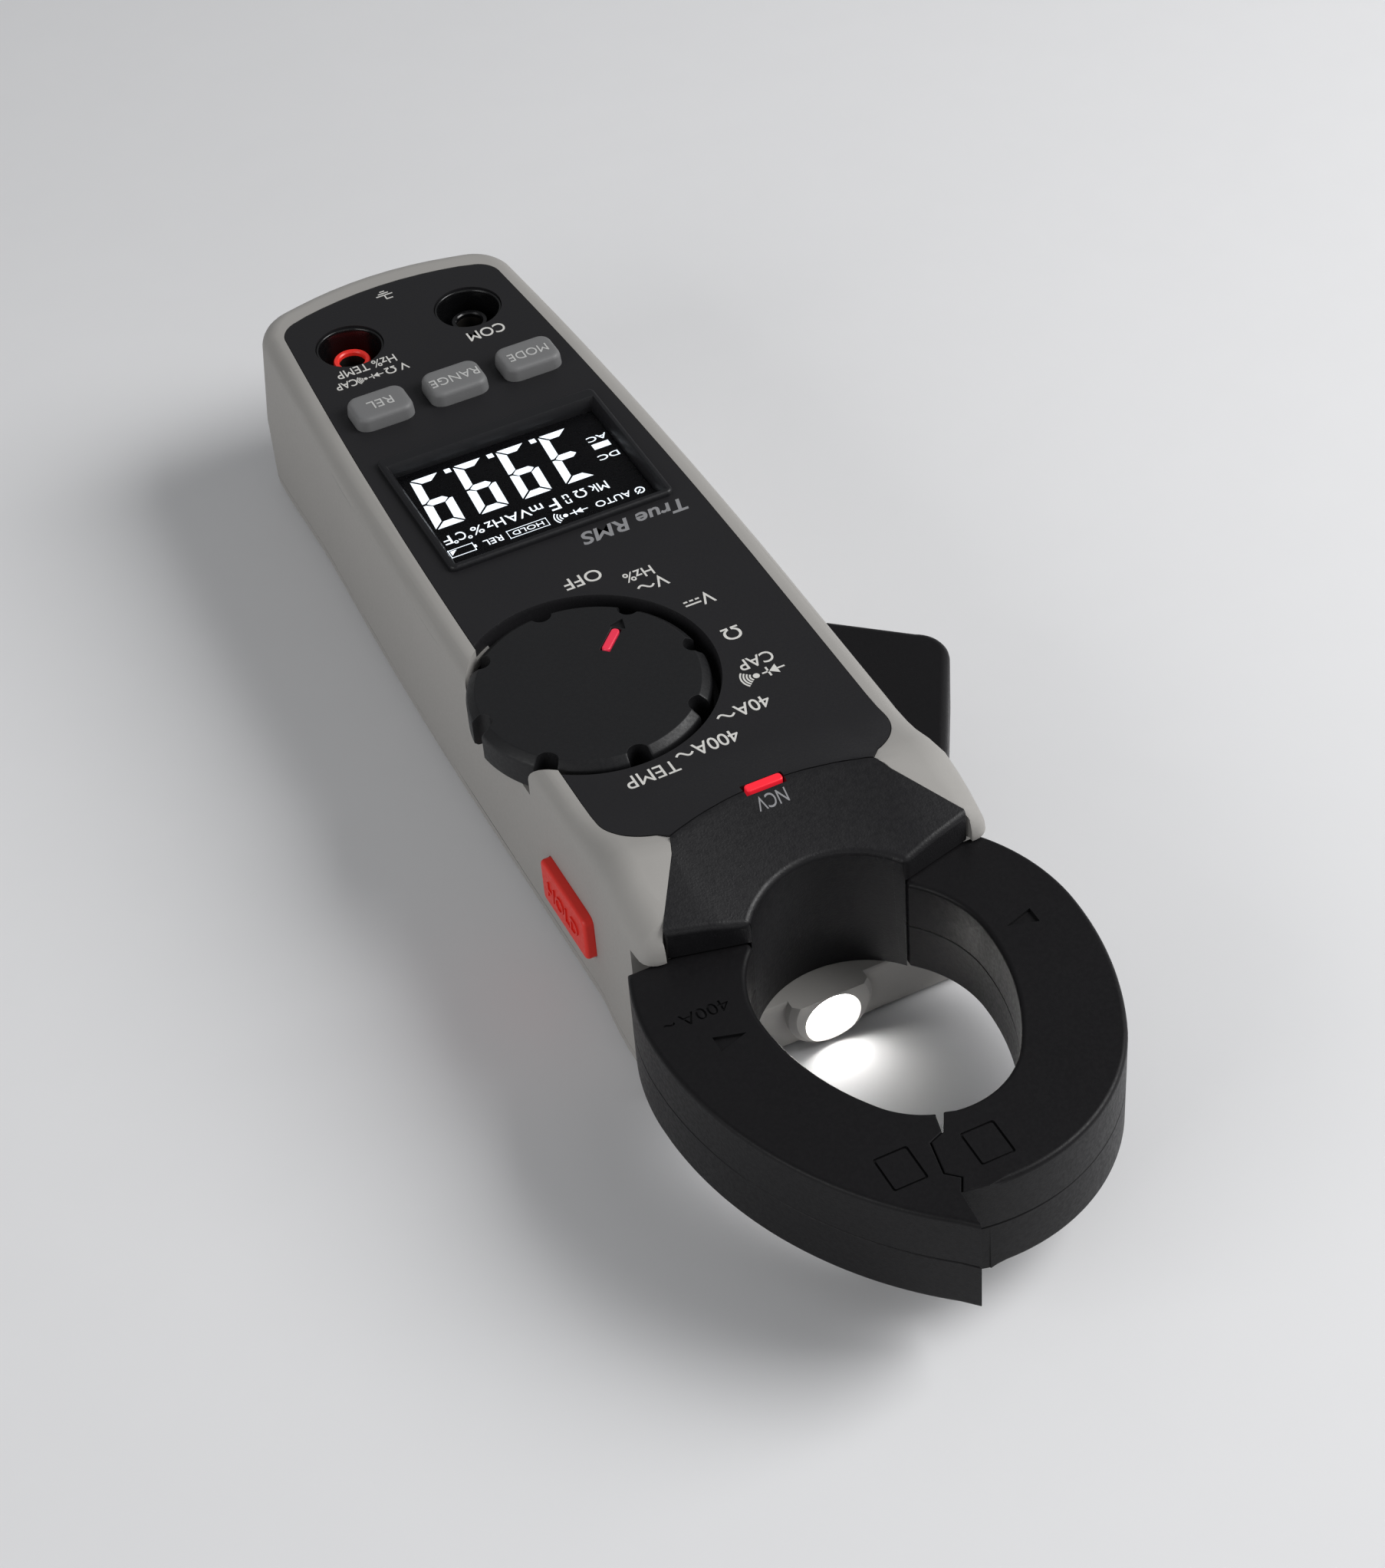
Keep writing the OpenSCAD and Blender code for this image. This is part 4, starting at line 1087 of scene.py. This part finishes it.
def panel_marks():
    marks = Marks("panel_print", lambda x, y: face_height(x, y))
    marks.text("OFF", -0.8, 4.9, -20.9, -18.5)
    marks.text("V", -8.4, -6.5, -15.2, -12.8)
    marks.wave(-6.3, -3.9, -13.9, 0.42, 0.3)
    marks.text("Hz%", -7.5, -3.1, -17.8, -15.75)
    marks.text("V", -12.4, -10.5, -8.7, -6.2)
    marks.direct_current(-10.4, -8.0, -7.5, 0.28)
    marks.text("Ω", -12.4, -9.8, -0.2, 2.45)
    marks.diode(-14.3, -10.9, 10.6, 0.95)
    marks.sound(-10.0, 10.6, 2.2)
    marks.text("CAP", -13.9, -8.8, 6.7, 8.9)
    marks.text("40A", -9.4, -4.3, 14.5, 16.85)
    marks.wave(-4.1, -1.6, 15.7, 0.42, 0.3)
    marks.text("400A", -2.7, 3.9, 18.5, 20.9)
    marks.wave(4.1, 6.5, 19.7, 0.42, 0.3)
    marks.text("TEMP", 6.9, 14.5, 19.9, 22.3, 0.0)
    marks.text("COM", -12.8, -6.8, -81.9, -79.6)
    marks.text("V", 3.9, 5.3, -80.1, -78.4)
    marks.text("Ω", 5.9, 7.6, -80.1, -78.4)
    marks.diode(8.0, 10.4, -79.2, 0.6)
    marks.sound(10.9, -79.2, 1.3)
    marks.text("CAP", 12.3, 15.7, -80.1, -78.4)
    marks.text("Hz% TEMP", 4.9, 14.5, -82.9, -81.0, 0.0)
    for k, half in enumerate((1.35, 0.85, 0.4)):
        marks.bar(0.2 - half, 0.2 + half, -98.0 - 0.52 * k, -97.8 - 0.52 * k)
    marks.bar(0.1, 0.3, -97.85, -96.7)
    marks.bar(-0.85, 0.1, -96.9, -96.7)
    marks.make("casing", PRINT, "black_panel")
    grey = Marks("panel_print_grey", lambda x, y: face_height(x, y))
    grey.text("True RMS", -18, -1.4, -29.1, -26.3, 0.02, 0.22)
    grey.make("casing", PRINT_GREY, "black_panel")
    collar_marks = Marks("collar_print", lambda x, y: face_height(x, y))
    collar_marks.text("NCV", -2.1, 2.4, 34.3, 36.4, 0.0, 0.1)
    collar_marks.make("casing", PRINT_GREY, "grained_black")


def key_marks():
    for name, word, half in (("mode", "MODE", 3.2), ("range", "RANGE", 3.9), ("rel", "REL", 2.0)):
        centre = KEYS[name]
        marks = Marks(name + "_key_print", lambda x, y: KEY_TOP)
        marks.text(word, centre.x - half, centre.x + half, centre.y - 0.65, centre.y + 1.2, 0.0)
        marks.make(name + "_key", KEY_PRINT, "grey_rubber")
    marks = Marks("hold_key_letters", lambda x, y: HOLD_FACE_X, 0.22)
    marks.text("HOLD", -4.9, 4.9, -1.35, 1.35, 0.0, 0.12)
    marks.make("hold_key", HOLD_RED, "red_rubber", HOLD_PLACE)


SEVEN = {"3": "abcdg", "9": "abcdfg"}


def digit_segments(x, y, w, h, t):
    """The seven bars of an upright digit, each as an outline. x, y is the lower left corner,
    w and h the size of the digit, t the width of a bar, m the middle and g half a gap.
    """
    m, g = y + h / 2, 0.24
    top, bottom, right = y + h, y, x + w
    return {
        "a": [(x + g, top), (right - g, top), (right - t - g, top - t), (x + t + g, top - t)],
        "d": [(x + g, bottom), (right - g, bottom), (right - t - g, bottom + t), (x + t + g, bottom + t)],
        "g": [(x + 0.5 * t, m), (x + t, m + t / 2), (right - t, m + t / 2), (right - 0.5 * t, m),
              (right - t, m - t / 2), (x + t, m - t / 2)],
        "b": [(right, top - g), (right, m + g), (right - 0.35 * t, m + g), (right - t, m + t / 2 + g),
              (right - t, top - t - g)],
        "c": [(right, bottom + g), (right, m - g), (right - 0.35 * t, m - g), (right - t, m - t / 2 - g),
              (right - t, bottom + t + g)],
        "f": [(x, top - g), (x, m + g), (x + 0.35 * t, m + g), (x + t, m + t / 2 + g),
              (x + t, top - t - g)],
        "e": [(x, bottom + g), (x, m - g), (x + 0.35 * t, m - g), (x + t, m - t / 2 - g),
              (x + t, bottom + t + g)],
    }


def outline_box(marks, x0, x1, y0, y1, w):
    marks.bar(x0, x1, y0, y0 + w)
    marks.bar(x0, x1, y1 - w, y1)
    marks.bar(x0, x0 + w, y0, y1)
    marks.bar(x1 - w, x1, y0, y1)


def display_marks():
    z = high("lcd_module").z
    marks = Marks("display_segments", lambda x, y: z, 0.03)
    base_y, h, w, t = -53.9, 12.3, 4.6, 1.32
    pitch, slant = 6.88, 0.07

    def lean(points):
        return [(x + (y - base_y) * slant, y) for x, y in points]
    for i, number in enumerate("3999"):
        x = -10.85 + pitch * i
        bars = digit_segments(x, base_y, w, h, t)
        for letter in SEVEN[number]:
            marks.shape(lean(bars[letter]))
        if i < 3:
            marks.bar(x + w + 0.5, x + w + 1.45, base_y - 0.05, base_y + 0.9)
    marks.text("AC", -15.5, -12.3, -50.0, -48.8)
    marks.bar(-15.1, -12.4, -48.15, -46.85)
    marks.text("DC", -15.3, -12.0, -45.3, -44.1)
    unit_y0, unit_y1 = -39.6, -37.7
    for word, x0, x1 in (("Mk", -10.6, -7.9), ("Ω", -7.2, -5.4), ("mVA", -0.3, 5.5), ("Hz", 5.9, 8.7),
                         ("%", 9.2, 11.0)):
        marks.text(word, x0, x1, unit_y0, unit_y1, 0.0)
    marks.text("F", -2.6, -1.1, unit_y0, -37.0, 0.0)
    marks.text("n", -4.5, -3.6, -38.3, -37.4, 0.0)
    marks.text("u", -4.5, -3.6, -39.6, -38.7, 0.0)
    marks.text("C", 12.0, 13.3, unit_y0, unit_y1, 0.0)
    marks.text("F", 14.2, 15.4, unit_y0, unit_y1, 0.0)
    for x in (11.6, 13.8):
        marks.line(arc((x, -37.7), 0.26, 0, 360, 12), 0.16)
    marks.line(arc((-14.1, -35.0), 0.66, 70, 380, 16), 0.22)
    marks.line([(-14.25, -35.15), (-13.45, -34.3)], 0.22)
    marks.text("AUTO", -12.7, -7.1, -35.75, -34.4, 0.0)
    marks.diode(-5.8, -3.0, -35.15, 0.6)
    marks.sound(-2.3, -35.15, 1.7, 3)
    marks.text("HOLD", 1.15, 6.0, -35.75, -34.8, 0.0)
    outline_box(marks, 0.45, 6.7, -36.2, -34.35, 0.1)
    marks.text("REL", 7.6, 10.5, -35.95, -34.65, 0.0)
    outline_box(marks, 11.9, 15.8, -36.4, -34.6, 0.12)
    marks.bar(11.6, 11.9, -35.8, -35.2)
    marks.shape([(14.5, -36.1), (15.5, -36.1), (15.5, -35.1)])
    marks.make("casing", SEGMENTS, "display_black")


# ---------------------------------------------------------------- studio

CAMERA_AT = Vector((130.2, 318.8, 333.3)) * MM
CAMERA_LOOK = Vector((-0.28050, -0.66746, -0.68979))
CAMERA_ROLL = radians(-4.823)
CAMERA_LENS = 76.97


def camera():
    look = CAMERA_LOOK.normalized()
    level = look.cross(Vector((0, 0, 1))).normalized()
    up = level.cross(look)
    right = level * cos(CAMERA_ROLL) + up * sin(CAMERA_ROLL)
    top = right.cross(look)
    data = bpy.data.cameras.new("camera")
    data.lens = CAMERA_LENS
    data.sensor_width = 36
    data.clip_start = 0.01
    obj = bpy.data.objects.new("camera", data)
    bpy.context.scene.collection.objects.link(obj)
    turn = Matrix((right, top, -look)).transposed()
    obj.matrix_world = Matrix.Translation(CAMERA_AT) @ turn.to_4x4()
    bpy.context.scene.camera = obj


def softbox(name, position, target, size, power):
    data = bpy.data.lights.new(name, "AREA")
    data.shape = "RECTANGLE"
    data.size, data.size_y = size
    data.energy = power
    obj = bpy.data.objects.new(name, data)
    bpy.context.scene.collection.objects.link(obj)
    obj.location = position
    obj.rotation_euler = (Vector(target) - Vector(position)).to_track_quat("-Z", "Y").to_euler()


def studio():
    floor = new_object("studio_floor", [(-3000, -3000, -0.3), (3000, -3000, -0.3), (3000, 3000, -0.3),
                                        (-3000, 3000, -0.3)], [(0, 1, 2, 3)])
    floor.data.materials.append(moulded("pale_floor", (0.78, 0.78, 0.79), 0.7, 3, 0.01, 0.01, 0, 0.2))
    softbox("key", (-0.6, 0.22, 0.55), (0, 0, 0), (0.5, 0.5), 6.6)
    softbox("fill", (0.7, 0.2, 0.35), (0, 0, 0), (0.6, 0.4), 2.0)
    softbox("front", (0.1, 0.8, 0.3), (0, 0.05, 0.02), (0.6, 0.12), 0.35)
    world = bpy.data.worlds.new("studio")
    bpy.context.scene.world = world
    world.use_nodes = True
    world.node_tree.nodes["Background"].inputs["Color"].default_value = (0.86, 0.88, 0.9, 1)
    world.node_tree.nodes["Background"].inputs["Strength"].default_value = 0.25
    bpy.context.scene.view_settings.view_transform = "Standard"


finish_cad_nodes()
front_case()
rear_cover()
battery_cover()
face_panel()
collar()
light_bar()
jaws()
trigger()
dial()
for name_ in KEYS:
    key(name_ + "_key_cap", KEYS[name_], name_ + "_button", name_ + "_key")
hold_button()
bezel()
sockets()
torch()
panel_marks()
key_marks()
display_marks()
camera()
studio()
